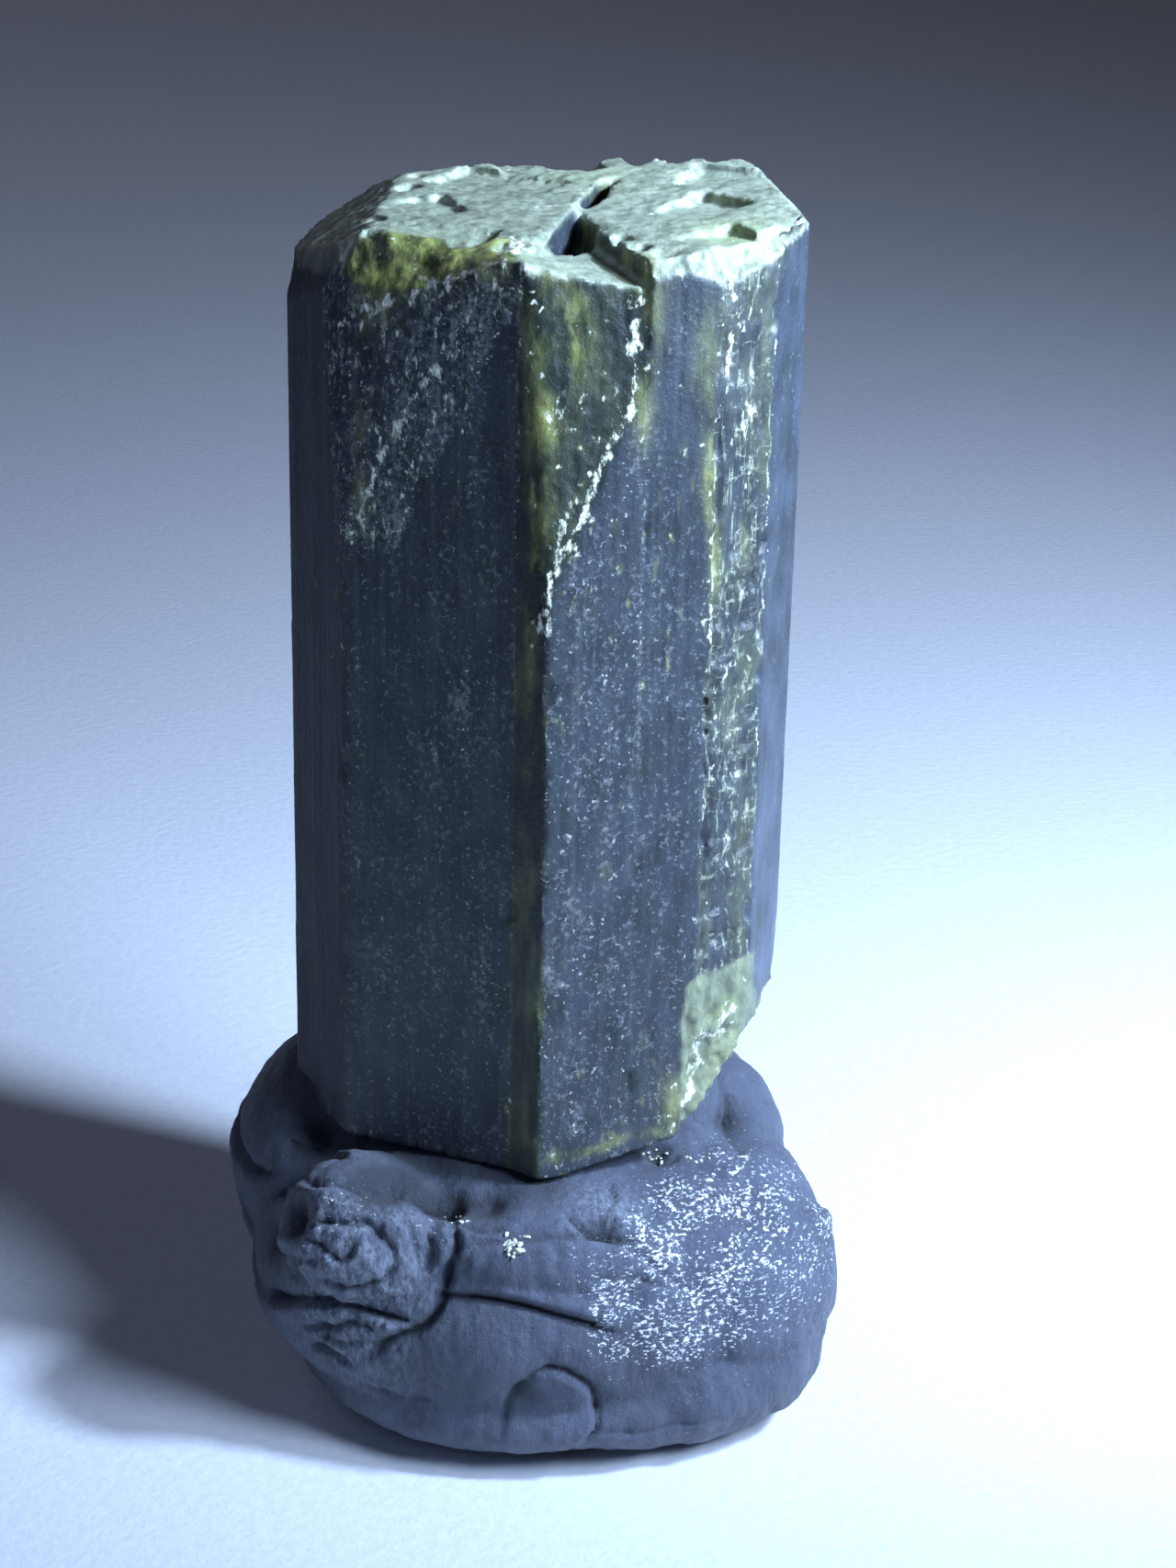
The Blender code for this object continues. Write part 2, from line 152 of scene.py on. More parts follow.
def through_modifier(mesh, kind, **settings):
    """The mesh as one modifier leaves it."""
    work = bpy.data.objects.new("work", mesh)
    bpy.context.scene.collection.objects.link(work)
    modifier = work.modifiers.new(kind.lower(), kind)
    for name, value in settings.items():
        setattr(modifier, name, value)
    graph = bpy.context.evaluated_depsgraph_get()
    made = bpy.data.meshes.new_from_object(work.evaluated_get(graph))
    bpy.data.objects.remove(work)
    return made


def smoothed(mesh, rounds):
    skin = bmesh.new()
    skin.from_mesh(mesh)
    for _ in range(rounds):
        bmesh.ops.smooth_vert(
            skin, verts=skin.verts, factor=0.5, use_axis_x=True, use_axis_y=True, use_axis_z=True
        )
    skin.to_mesh(mesh)
    skin.free()


def places_of(mesh):
    places = np.empty(len(mesh.vertices) * 3)
    mesh.vertices.foreach_get("co", places)
    return places.reshape(-1, 3)


def facings_of(mesh):
    facings = np.empty(len(mesh.vertices) * 3)
    mesh.vertices.foreach_get("normal", facings)
    return facings.reshape(-1, 3)


def move_to(mesh, places):
    mesh.vertices.foreach_set("co", places.ravel())
    mesh.update()


def relief(places, per_mm, octaves=3.0, offset=0.0):
    """Random relief about zero, with so many swells to the millimetre along X, Y and Z."""
    scaled = places * np.array(per_mm) + offset
    return np.array([noise.fractal(p, 1.0, 2.0, octaves) for p in scaled.tolist()])


def fading_from(places, middle, radius):
    """1 at the middle, and less the further out, with little left at twice the radius."""
    return np.exp(-((np.linalg.norm(places - middle, axis=1) / radius) ** 2))


def store(mesh, name, values):
    """Keeps values from 0 to 1 at the points, for the piece's material to read."""
    mesh.attributes.new(name, "FLOAT", "POINT").data.foreach_set("value", np.clip(values, 0.0, 1.0))


putty_mesh = through_modifier(
    balls_pressed_flat(), "REMESH", mode="VOXEL", voxel_size=PUTTY_VOXEL, adaptivity=0.0
)
smoothed(putty_mesh, PUTTY_SMOOTHING)

# Soft dents: a place in the picture, a radius in millimetres, and a depth.
DENTS = (
    ((318, 1322), 0.50, 0.50), ((302, 1345), 0.45, 0.30), ((345, 1232), 0.80, 0.70),
    ((400, 1282), 0.60, 0.60), ((440, 1275), 0.80, 0.90), ((480, 1305), 0.50, 0.70),
    ((530, 1305), 0.55, 0.50), ((716, 1248), 0.40, 0.70), ((655, 1336), 0.38, 0.30),
    ((798, 1225), 0.45, 0.30), ((568, 1520), 0.50, 0.26), ((412, 1345), 0.26, 0.28),
    ((352, 1446), 0.32, 0.18), ((350, 1470), 0.40, 0.16), ((610, 1385), 0.90, 0.12),
    ((320, 1380), 0.45, 0.28), ((450, 1360), 0.35, 0.12), ((700, 1460), 1.2, 0.08),
)
# Creases: the line that each follows in the picture, its width and depth, and how far the putty
# stands up along its lower (or, below zero, its upper) side.
CREASES = (
    (((478, 1408), (520, 1410), (560, 1417), (600, 1428), (640, 1439), (672, 1452)), 0.10, 0.24, -0.18),
    (((500, 1366), (530, 1358), (560, 1354), (604, 1349), (650, 1350), (690, 1364), (716, 1386), (748, 1410)),
     0.12, 0.10, 0.16),
    (((612, 1322), (645, 1341), (690, 1352)), 0.10, 0.24, 0.12),
    (((640, 1396), (690, 1394), (722, 1402)), 0.09, 0.09, 0.06),
    (((655, 1422), (650, 1440), (652, 1460)), 0.07, 0.06, -0.03),
    (((288, 1318), (310, 1301), (340, 1290), (372, 1287), (402, 1292)), 0.10, 0.18, 0.16),
    (((402, 1286), (432, 1286), (462, 1297), (482, 1313), (492, 1335)), 0.10, 0.16, 0.12),
    (((494, 1332), (494, 1358), (487, 1388), (474, 1426), (452, 1449), (420, 1462), (396, 1478)),
     0.13, 0.34, 0.00),
    (((300, 1338), (322, 1344), (345, 1332), (372, 1334), (396, 1332), (412, 1344)), 0.08, 0.16, 0.10),
    (((412, 1344), (430, 1362), (428, 1385), (405, 1400), (372, 1404), (350, 1392)), 0.09, 0.16, -0.08),
    (((332, 1350), (352, 1358), (368, 1372), (384, 1364), (386, 1350)), 0.07, 0.14, 0.07),
    (((305, 1362), (325, 1372), (348, 1372)), 0.07, 0.10, 0.06),
    (((440, 1330), (452, 1352), (450, 1378)), 0.08, 0.09, 0.05),
    (((462, 1340), (468, 1362), (462, 1386)), 0.07, 0.07, 0.04),
    (((292, 1405), (312, 1416), (350, 1417), (400, 1430), (444, 1440)), 0.10, 0.24, 0.16),
    (((330, 1442), (356, 1446), (388, 1440), (408, 1450)), 0.08, 0.14, 0.07),
    (((336, 1466), (362, 1474), (384, 1486)), 0.08, 0.12, 0.06),
    (((345, 1455), (372, 1462), (400, 1462)), 0.07, 0.08, 0.05),
    (((572, 1502), (600, 1492), (625, 1500), (643, 1515), (648, 1535), (647, 1560), (632, 1572)),
     0.08, 0.22, 0.10),
    (((580, 1500), (560, 1520), (548, 1540), (546, 1566)), 0.11, 0.16, 0.00),
    (((652, 1562), (700, 1561), (742, 1551), (790, 1544)), 0.08, 0.08, 0.05),
    (((792, 1188), (797, 1220), (804, 1258)), 0.12, 0.22, 0.07),
    (((776, 1160), (786, 1192), (780, 1228)), 0.10, 0.12, 0.06),
    (((664, 1288), (668, 1312)), 0.08, 0.18, 0.00),
    (((690, 1268), (720, 1262), (745, 1250)), 0.09, 0.16, -0.07),
    (((735, 1497), (748, 1514), (757, 1536)), 0.05, 0.06, 0.02),
    (((500, 1332), (520, 1340), (548, 1338)), 0.08, 0.12, 0.07),
    (((596, 1352), (606, 1368), (600, 1384)), 0.08, 0.06, 0.04),
    (((384, 1500), (430, 1520), (470, 1524)), 0.10, 0.07, 0.04),
    (((310, 1240), (335, 1248), (380, 1256)), 0.09, 0.12, -0.16),
)
# The same kind of folds round the sides and back, as seen from there: the heading from which each
# is looked at in degrees, then (sideways, height) points in millimetres from the middle.
BACK_CREASES = (
    (180, ((-4.4, 6.6), (-2.4, 6.0), (-0.6, 4.9), (1.2, 3.6), (3.2, 2.9)), 0.15, 0.24, 0.16),
    (180, ((-4.8, 2.4), (-3.0, 3.3), (-1.2, 3.0)), 0.14, 0.18, 0.12),
    (205, ((-2.6, 7.2), (-2.0, 6.2), (-2.2, 5.2)), 0.13, 0.20, 0.08),
    (100, ((-4.0, 5.6), (-1.8, 4.6), (0.6, 4.8), (2.6, 5.8)), 0.14, 0.20, 0.14),
    (80, ((-3.4, 2.6), (-0.6, 2.2), (2.4, 2.9)), 0.13, 0.14, 0.10),
    (262, ((-3.2, 6.8), (-1.2, 5.6), (1.2, 5.4), (3.4, 6.2)), 0.14, 0.22, 0.14),
    (285, ((-3.0, 3.6), (-0.4, 3.0), (2.2, 3.6)), 0.14, 0.18, 0.12),
    (300, ((0.4, 7.4), (1.0, 6.0), (0.6, 4.8)), 0.12, 0.14, 0.06),
)


def putty_seen_at(skin, x, y):
    hit = skin.ray_cast(CAMERA_PLACE / MM, sight_line(x, y))[0]
    return np.array(hit) if hit is not None else None


def putty_seen_from(skin, heading, sideways, height):
    turn = Matrix.Rotation(math.radians(heading), 3, "Z")
    start = turn @ Vector((sideways, -40.0, 0.0)) + Vector((0.0, 0.0, height))
    hit = skin.ray_cast(start, turn @ Vector((0.0, 1.0, 0.0)))[0]
    return np.array(hit) if hit is not None else None


def rounded_line(points):
    """A smooth line through the points, with eight steps between each two."""
    points = [p for p in points if p is not None]
    line = []
    for i in range(len(points) - 1):
        before = points[max(i - 1, 0)]
        after = points[min(i + 2, len(points) - 1)]
        for t in np.linspace(0.0, 1.0, 8, endpoint=False):
            here, there = points[i], points[i + 1]
            lean_out = (there - before) / 2
            lean_in = (after - here) / 2
            line.append(
                (2 * t**3 - 3 * t**2 + 1) * here + (t**3 - 2 * t**2 + t) * lean_out
                + (3 * t**2 - 2 * t**3) * there + (t**3 - t**2) * lean_in
            )
    line.append(points[-1])
    return line


def pressed_crease(places, facings, line, width, depth, lip):
    """How far each point moves for a crease: a groove, with one side standing over the other."""
    nearest = np.full(len(places), 1e9)
    across = np.zeros(len(places))
    along = np.zeros(len(places))
    for i, (start, end) in enumerate(zip(line[:-1], line[1:])):
        step = end - start
        share = np.clip((places - start) @ step / (step @ step), 0.0, 1.0)
        away = places - (start + share[:, None] * step)
        far = np.linalg.norm(away, axis=1)
        sideways = np.cross(step / np.linalg.norm(step), facings)
        closer = far < nearest
        nearest[closer] = far[closer]
        across[closer] = np.einsum("ij,ij->i", away, sideways)[closer]
        along[closer] = (i + share[closer]) / (len(line) - 1)
    past_end = np.maximum(nearest - np.abs(across), 0.0)
    within = np.exp(-((past_end / (1.5 * width)) ** 2)) * (nearest < 12 * width)
    groove = -depth * np.exp(-((nearest / width) ** 2))
    fold = lip * np.tanh(2.0 * across / width) * np.exp(-np.abs(across) / (3.5 * width))
    taper = np.clip(6.0 * np.minimum(along, 1.0 - along), 0.0, 1.0) ** 0.7
    return (groove + fold * within) * (0.12 + 0.88 * taper)


putty_skin = BVHTree.FromPolygons(
    [v.co[:] for v in putty_mesh.vertices], [p.vertices[:] for p in putty_mesh.polygons]
)
places = places_of(putty_mesh)
facings = facings_of(putty_mesh)
moved = np.zeros(len(places))
# Kneading: broad swells, then the drag of fingers down the sides, then a fine wrinkle.
moved += 0.14 * relief(places, (0.35, 0.35, 0.45), 2.0)
moved += 0.05 * relief(places, (1.3, 1.3, 0.9), 3.0, 7.0)
moved += 0.028 * relief(places, (3.6, 3.6, 1.0), 3.0, 3.0)
# The roll at the left was torn, and stayed bristly.
TORN_SPOTS = (((390, 1350), 2.4), ((380, 1450), 1.6), ((660, 1320), 1.0))
torn_and_lit = np.zeros(len(places))
for spot, radius in TORN_SPOTS:
    torn_and_lit += fading_from(places, putty_seen_at(putty_skin, *spot), radius)
moved += np.clip(torn_and_lit, 0.0, 1.0) * 0.075 * relief(places, (5.0, 5.0, 3.0), 3.0, 71.0)
for spot, radius, depth in DENTS:
    moved -= depth * fading_from(places, putty_seen_at(putty_skin, *spot), radius)
for points, width, depth, lip in CREASES:
    line = rounded_line([putty_seen_at(putty_skin, x, y) for x, y in points])
    moved += pressed_crease(places, facings, line, width, depth, lip)
for heading, points, width, depth, lip in BACK_CREASES:
    line = rounded_line([putty_seen_from(putty_skin, heading, x, z) for x, z in points])
    moved += pressed_crease(places, facings, line, width, depth, lip)
# The ridges of a finger, left on the right side. They are arcs round a point that lies so far in
# front of their middle and so far below it.
FINGER_SPOT = (862, 1345)
FINGER_REACH = 1.7
RIDGE_SPACING = 0.45
RIDGE_HEIGHT = 0.012
ARCS_IN_FRONT = 2.4
ARCS_BELOW = 1.6
finger_middle = putty_seen_at(putty_skin, *FINGER_SPOT)
away = places - finger_middle
arc = np.hypot(away[:, 1] + ARCS_IN_FRONT, away[:, 2] + ARCS_BELOW)
ridges = RIDGE_HEIGHT * np.sin(math.tau * arc / RIDGE_SPACING)
moved += ridges * fading_from(places, finger_middle, FINGER_REACH)

on_table = np.clip(places[:, 2] / 0.35, 0.0, 1.0)
places = places + facings * (moved * on_table)[:, None]
places[:, 2] = np.maximum(places[:, 2], 0.0)
# The crystals' foot pushes the putty out of its way, and the putty beside it is given painted shade, as the
# foot shades it.
FOOT_SHADE_REACH = 0.75
FOOT_REGION = 5.0
# Painted shade beside the foot, fading with distance from the crystals.
painted_foot_shade = np.zeros(len(places))
for i in np.flatnonzero(places[:, 2] > FOOT_REGION):
    spot, out, _, far = crystal_skin.find_nearest(Vector(places[i]))
    painted_foot_shade[i] = math.exp(-((far / FOOT_SHADE_REACH) ** 2))
    if (Vector(places[i]) - spot).dot(out) < -PRESSED_IN:
        places[i] = spot - out * PRESSED_IN
places[places[:, 2] < 0.02, 2] = 0.0
move_to(putty_mesh, places)


def finished(name, mesh, node):
    """Brings a piece that was carved in millimetres to its real size, in the place of its solid."""
    mesh.transform(Matrix.Scale(MM, 4))
    mesh.shade_smooth()
    piece = bpy.data.objects.new(name, mesh)
    bpy.context.scene.collection.objects.link(piece)
    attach(piece, "root")
    if node:
        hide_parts(node)
    return piece


# Painted glints: bright specks where the putty's rough skin catches the lamp, gathered round these places: a
# spot, a radius in millimetres, and a share.
PAINTED_GLINT_SPOTS = (
    ((690, 1425), 0.9, 1.0), ((720, 1450), 0.9, 1.0), ((735, 1395), 1.0, 0.8), ((790, 1290), 1.7, 0.65),
    ((745, 1345), 1.7, 0.65), ((830, 1370), 2.2, 0.45), ((700, 1330), 0.9, 0.5), ((470, 1330), 0.6, 0.5),
    ((560, 1358), 0.6, 0.5), ((760, 1440), 1.4, 0.7), ((372, 1350), 1.4, 0.40), ((660, 1420), 0.7, 0.7),
    ((800, 1240), 0.9, 0.4), ((640, 1360), 0.8, 0.4), ((880, 1300), 1.6, 0.5), ((860, 1430), 1.5, 0.4),
    ((905, 1350), 1.2, 0.4), ((660, 1475), 1.0, 0.4), ((345, 1310), 0.8, 0.4),
)
painted_glint_share = np.zeros(len(places))
for spot, radius, share in PAINTED_GLINT_SPOTS:
    painted_glint_share += share * fading_from(places, putty_seen_at(putty_skin, *spot), radius)
# Painted shade: the putty is darkened in its creases and dents, and beside the front left of the crystals'
# foot, where shade falls.
painted_hollow_shade = np.clip(-moved / 0.35, 0.0, 1.0)
at_front_left = np.clip((1.6 - places[:, 0]) / 1.2, 0.0, 1.0)
painted_hollow_shade = np.maximum(painted_hollow_shade, 0.85 * painted_foot_shade * at_front_left)
store(putty_mesh, "painted_glint_share", painted_glint_share)
store(putty_mesh, "painted_hollow_shade", painted_hollow_shade)
store(putty_mesh, "torn_and_lit", torn_and_lit)

PUTTY_PALE = (0.100, 0.116, 0.160, 1.0)
PUTTY_DARK = (0.054, 0.064, 0.092, 1.0)
# The torn roll's paler colour, partly painted light on its lit crest.
PUTTY_TORN_AND_LIT = (0.215, 0.240, 0.285, 1.0)
# The colour of the painted shade in creases, dents and beside the crystals' foot.
PUTTY_CREASE_SHADE = (0.028, 0.032, 0.043, 1.0)
# The colour of the painted glints.
PAINTED_GLINT = (0.92, 0.95, 1.00, 1.0)
PUTTY_IOR = 1.48


def add(tree, kind, inputs=(), **settings):
    """One shader node: its settings, and its sockets' values or the sockets that feed them."""
    made = tree.nodes.new(kind)
    for name, value in settings.items():
        setattr(made, name, value)
    for name, value in dict(inputs).items():
        if isinstance(value, bpy.types.NodeSocket):
            tree.links.new(value, made.inputs[name])
        else:
            made.inputs[name].default_value = value
    return made


def in_millimetres(tree, stretch=(1.0, 1.0, 1.0), turn=0.0):
    """The piece's own coordinates in millimetres, stretched and turned back about Y."""
    own = add(tree, "ShaderNodeTexCoord").outputs["Object"]
    turned = add(tree, "ShaderNodeMapping", {"Vector": own, "Rotation": (0.0, turn, 0.0)}).outputs[0]
    scale = tuple(s / MM for s in stretch)
    return add(tree, "ShaderNodeMapping", {"Vector": turned, "Scale": scale}).outputs[0]


def cloudy(tree, where, scale, detail=4.0, roughness=0.55):
    made = add(tree, "ShaderNodeTexNoise", {"Vector": where, "Scale": scale, "Detail": detail,
                                            "Roughness": roughness})
    return made.outputs["Fac"]


def between(tree, value, low, high, to_low=0.0, to_high=1.0):
    made = add(tree, "ShaderNodeMapRange", {"Value": value, "From Min": low, "From Max": high,
                                            "To Min": to_low, "To Max": to_high})
    return made.outputs[0]


def times(tree, first, second):
    return add(tree, "ShaderNodeMath", {0: first, 1: second}, operation="MULTIPLY").outputs[0]


def plus(tree, first, second):
    return add(tree, "ShaderNodeMath", {0: first, 1: second}, operation="ADD").outputs[0]


def blended(tree, share, first, second):
    made = add(tree, "ShaderNodeMix", {"Factor": share}, data_type="RGBA")
    for socket, value in ((made.inputs[6], first), (made.inputs[7], second)):
        if isinstance(value, bpy.types.NodeSocket):
            tree.links.new(value, socket)
        else:
            socket.default_value = value
    return made.outputs[2]


def stored(tree, name):
    return add(tree, "ShaderNodeAttribute", attribute_name=name).outputs["Fac"]


def empty_material(name):
    made = bpy.data.materials.new(name)
    made.use_nodes = True
    made.node_tree.nodes.clear()
    return made, made.node_tree


def show(tree, shader):
    tree.links.new(shader.outputs[0], add(tree, "ShaderNodeOutputMaterial").inputs["Surface"])


def putty_material():
    made, tree = empty_material("kneaded_putty")
    where = in_millimetres(tree)
    broad = between(tree, cloudy(tree, where, 0.55, 5.0), 0.35, 0.65)
    fine = between(tree, cloudy(tree, where, 5.0, 6.0, 0.65), 0.3, 0.7)
    smear = cloudy(tree, in_millimetres(tree, (3.0, 3.0, 0.7)), 1.6, 5.0, 0.6)
    colour = blended(tree, broad, PUTTY_DARK, PUTTY_PALE)
    colour = blended(tree, times(tree, fine, 0.35), colour, PUTTY_DARK)
    colour = blended(tree, between(tree, smear, 0.52, 0.75, 0.0, 0.4), colour, PUTTY_PALE)
    # The torn roll is paler: partly its own torn, bristly skin, partly painted light on its lit crest.
    bristle = between(tree, cloudy(tree, in_millimetres(tree, (2.0, 2.0, 0.8)), 4.0, 5.0, 0.7), 0.42, 0.62)
    colour = blended(tree, times(tree, stored(tree, "torn_and_lit"), bristle), colour, PUTTY_TORN_AND_LIT)
    # Painted shade in the creases and dents and beside the crystals' foot.
    colour = blended(tree, stored(tree, "painted_hollow_shade"), colour, PUTTY_CREASE_SHADE)
    # Painted glints: white specks standing in for the lamp's highlights on the putty's rough skin.
    grains = cloudy(tree, in_millimetres(tree, (0.9, 0.9, 1.7)), 8.5, 3.0, 0.70)
    drift = between(tree, cloudy(tree, where, 1.3, 4.0, 0.6), 0.35, 0.65, 0.50, 1.30)
    cut = between(tree, times(tree, stored(tree, "painted_glint_share"), drift), 0.0, 1.0, 0.72, 0.522)
    painted_glints = between(tree, grains, cut, plus(tree, cut, 0.07))
    colour = blended(tree, painted_glints, colour, PAINTED_GLINT)
    roughness = between(tree, fine, 0.0, 1.0, 0.50, 0.68)
    height = plus(tree, times(tree, cloudy(tree, where, 7.0, 6.0, 0.75), 1.0), times(tree, smear, 0.8))
    bump = add(tree, "ShaderNodeBump", {"Strength": 0.8, "Distance": 0.00008, "Height": height})
    shader = add(tree, "ShaderNodeBsdfPrincipled", {
        "Base Color": colour, "Roughness": roughness, "Normal": bump.outputs[0],
        "IOR": PUTTY_IOR, "Sheen Weight": 0.10})
    show(tree, shader)
    return made


putty = finished("kneaded_putty", putty_mesh, "putty_base")
putty.data.materials.clear()
putty.data.materials.append(putty_material())

# The crystals are one group: three upright prisms of dark green, glassy mineral that grew side by
# side. Their faces are finely grooved along their length, and where they broke, at the tops, the
# long bevels, one face and the right of the foot, they are rough, olive or frosted white. Their olive
# is partly painted light: the green is brightened into a glow where light shines through thin parts,
# and a painted bluish sheen lies over the faces.
CRYSTAL_VOXEL = 0.085
CRYSTAL_TRIANGLES = 190000
# The group's upright edges, seen from above, from the far left round the front to the right.
CORNERS = {
    "far_left": (-7.07, 0.50), "left": (-5.67, -1.91), "inner_left": (-1.69, -3.71),
    "front": (-0.95, -4.28), "seam": (1.15, -3.58), "right_front": (2.75, -3.04),
    "right": (4.00, -1.69), "far_right": (4.77, 0.11),
}


def stand_straight(places):
    """The points as they are before the group leans, in the frame of its corners."""
    back = Matrix.Rotation(-GROUP_LEAN, 3, "Y")
    pivot = np.array(LEAN_PIVOT)
    upright = (places - np.array(STAND) - pivot) @ np.array(back).T + pivot
    return upright / np.array((WIDER, WIDER, 1.0))


def lean_again(straight):
    forth = Matrix.Rotation(GROUP_LEAN, 3, "Y")
    pivot = np.array(LEAN_PIVOT)
    return (straight * np.array((WIDER, WIDER, 1.0)) - pivot) @ np.array(forth).T + pivot + np.array(STAND)


def on_side(straight, start, end, skin=0.30):
    """1 on the side between two corners, 0 elsewhere."""
    start, end = np.array(CORNERS[start]), np.array(CORNERS[end])
    length = np.linalg.norm(end - start)
    along = (end - start) / length
    share = (straight[:, :2] - start) @ along / length
    depth = (straight[:, :2] - start) @ np.array((along[1], -along[0]))
    here = (np.abs(depth) < skin) & (share > -0.02) & (share < 1.02)
    return here.astype(float)


def near_plane(places, three_points, skin):
    """1 on the plane of three points, falling to 0 a little way off it."""
    first, second, third = (np.array(p) for p in three_points)
    facing = np.cross(second - first, third - first)
    facing = facing / np.linalg.norm(facing)
    return np.clip(1.5 - np.abs((places - np.array(STAND) - first) @ facing) / skin, 0.0, 1.0)


def facing_like(facings, way, least=0.90):
    way = np.array(way) / np.linalg.norm(way)
    return np.clip((facings @ way - least) / (1.0 - least) * 2.0, 0.0, 1.0)


rough_mesh = bpy.data.meshes.new("rough_crystals")
rough_crystals.to_mesh(rough_mesh)
crystal_mesh = through_modifier(
    rough_mesh, "REMESH", mode="VOXEL", voxel_size=CRYSTAL_VOXEL, adaptivity=0.0
)


def blurred(mesh, values, rounds, where=1.0):
    """Values at points, each mixed with its neighbours' so many times."""
    pairs = np.empty(len(mesh.edges) * 2, dtype=np.int64)
    mesh.edges.foreach_get("vertices", pairs)
    first, second = pairs.reshape(-1, 2).T
    count = np.bincount(first, minlength=len(values)) + np.bincount(second, minlength=len(values))
    for _ in range(rounds):
        total = np.bincount(first, values[second], len(values))
        total = total + np.bincount(second, values[first], len(values))
        values = values + 0.5 * where * (total / count - values)
    return values


def to_corner(straight, name):
    """How far each point is from one upright edge of the group."""
    return np.linalg.norm(straight[:, :2] - np.array(CORNERS[name]), axis=1)


places = places_of(crystal_mesh)
facings = facings_of(crystal_mesh)
straight = stand_straight(places)
# The solid's even grooves are smoothed away between the edges, and finer lines replace them.
SMOOTHED_HEIGHTS = (7.35, 29.0)
SMOOTHED_ROUNDS = 40
to_nearest = np.minimum.reduce([to_corner(straight, name) for name in CORNERS])
between_edges = np.clip((to_nearest - 0.08) / 0.12, 0.0, 1.0) * (np.abs(facings[:, 2]) < 0.35)
between_edges *= (straight[:, 2] > SMOOTHED_HEIGHTS[0]) & (straight[:, 2] < SMOOTHED_HEIGHTS[1])
places = np.stack(
    [blurred(crystal_mesh, axis, SMOOTHED_ROUNDS, between_edges) for axis in places.T], axis=1
)
straight = stand_straight(places)

# The olive band along the front of the left top is a twisted slope: steep at its left end, and
# nearly flat at its right. Each pair is the band's left and right end: its top line, then its foot.
BAND_TOP = ((-5.29, -1.28, 29.80), (-2.18, -2.15, 29.80))
BAND_FOOT = ((-5.36, -2.05, 27.70), (-2.00, -3.57, 29.40))
BAND_ENDS = (-5.8, -1.75)
BAND_ABOVE = 26.5
BAND_BEFORE = 0.5
(left_top, right_top), (left_foot, right_foot) = np.array(BAND_TOP), np.array(BAND_FOOT)
share = np.clip((straight[:, 0] - left_top[0]) / (right_top[0] - left_top[0]), -0.15, 1.05)[:, None]
band_top = left_top + share * (right_top - left_top)
slope = left_foot + share * (right_foot - left_foot) - band_top
out_y, out_z = slope[:, 2], -slope[:, 1]
stretch = np.hypot(out_y, out_z)
proud = ((straight[:, 1] - band_top[:, 1]) * out_y + (straight[:, 2] - band_top[:, 2]) * out_z) / stretch
cut_here = (proud > 0) & (straight[:, 0] > BAND_ENDS[0]) & (straight[:, 0] < BAND_ENDS[1])
cut_here &= (straight[:, 2] > BAND_ABOVE) & (straight[:, 1] < BAND_BEFORE)
straight[cut_here, 1] -= (proud * out_y / stretch)[cut_here]
straight[cut_here, 2] -= (proud * out_z / stretch)[cut_here]
olive_band = cut_here.astype(float)
# The right of the foot has broken away on a slope: a point on it, and the way that it faces. The
# shoulder over the slope is rounded off.
FOOT_BREAK = ((4.30, 0.30, 9.75), (0.84, -0.22, -0.47))
BREAK_TOP = 12.0
BREAK_START = 2.0
SHOULDER = (4.70, 0.2, 10.3)
SHOULDER_REACH = 1.1
SHOULDER_ROUNDS = 140
slope_point = np.array(FOOT_BREAK[0])
slope_facing = np.array(FOOT_BREAK[1]) / np.linalg.norm(FOOT_BREAK[1])
proud = (straight - slope_point) @ slope_facing
proud = proud * (straight[:, 2] < BREAK_TOP) * (straight[:, 0] > BREAK_START)
straight -= np.maximum(proud, 0.0)[:, None] * slope_facing
foot_slope = (proud > -0.02).astype(float)
shoulder = fading_from(straight, np.array(SHOULDER), SHOULDER_REACH)
straight = np.stack(
    [blurred(crystal_mesh, axis, SHOULDER_ROUNDS, shoulder) for axis in straight.T], axis=1
)
places = lean_again(straight)
move_to(crystal_mesh, places)
facings = facings_of(crystal_mesh)

# Which finish each point has.
BREAK_PLANES = (
    ((4.00, -1.69, 11.45), (0.716, -0.690, -0.108)),
    ((4.50, 0.23, 9.90), (0.750, 0.0, -0.660)),
)
BREAK_SCOOPS = (((3.55, -3.10, 9.20), 1.75), ((4.55, -2.10, 10.40), 1.10))
LEFT_BEVEL = ((-5.58, -1.93, 22.80), (-1.75, -3.67, 29.57), (-5.76, -1.43, 27.60))
FRONT_BEVEL = ((-0.90, -4.28, 20.95), (1.18, -3.60, 26.30), (-1.32, -3.84, 29.30))
top = np.zeros(len(places))
for i in np.flatnonzero(places[:, 2] > 28.6):
    to_side = crystal_skin.find_nearest(Vector((places[i][0], places[i][1], 26.8)))[3]
    top[i] = min(max((to_side - 0.06) / 0.10, 0.0), 1.0)
top *= np.clip((facings[:, 2] - 0.20) / 0.25, 0.0, 1.0)
level = np.clip((facings[:, 2] - 0.6) / 0.2, 0.0, 1.0) * (places[:, 2] > 23.0)
top = np.maximum(top * (1.0 - olive_band), level)
speckled = near_plane(places, LEFT_BEVEL, 0.10) * (facings[:, 1] < -0.5) * (places[:, 2] > 22.5)
speckled = speckled * (1.0 - olive_band)
front_bevel = near_plane(places, FRONT_BEVEL, 0.10) * (facings[:, 1] < -0.8) * (places[:, 2] > 20.5)
crack_wall = facing_like(facings, (-0.89, -0.455, 0.0), 0.80)
crack_wall *= (places[:, 2] > 28.0) & (straight[:, 0] > -0.8)
right_rim = facing_like(facings, (0.52, -0.62, 0.58), 0.80) * (places[:, 2] > 27.5)
ladder = on_side(straight, "right_front", "right")
strip = on_side(straight, "inner_left", "front")
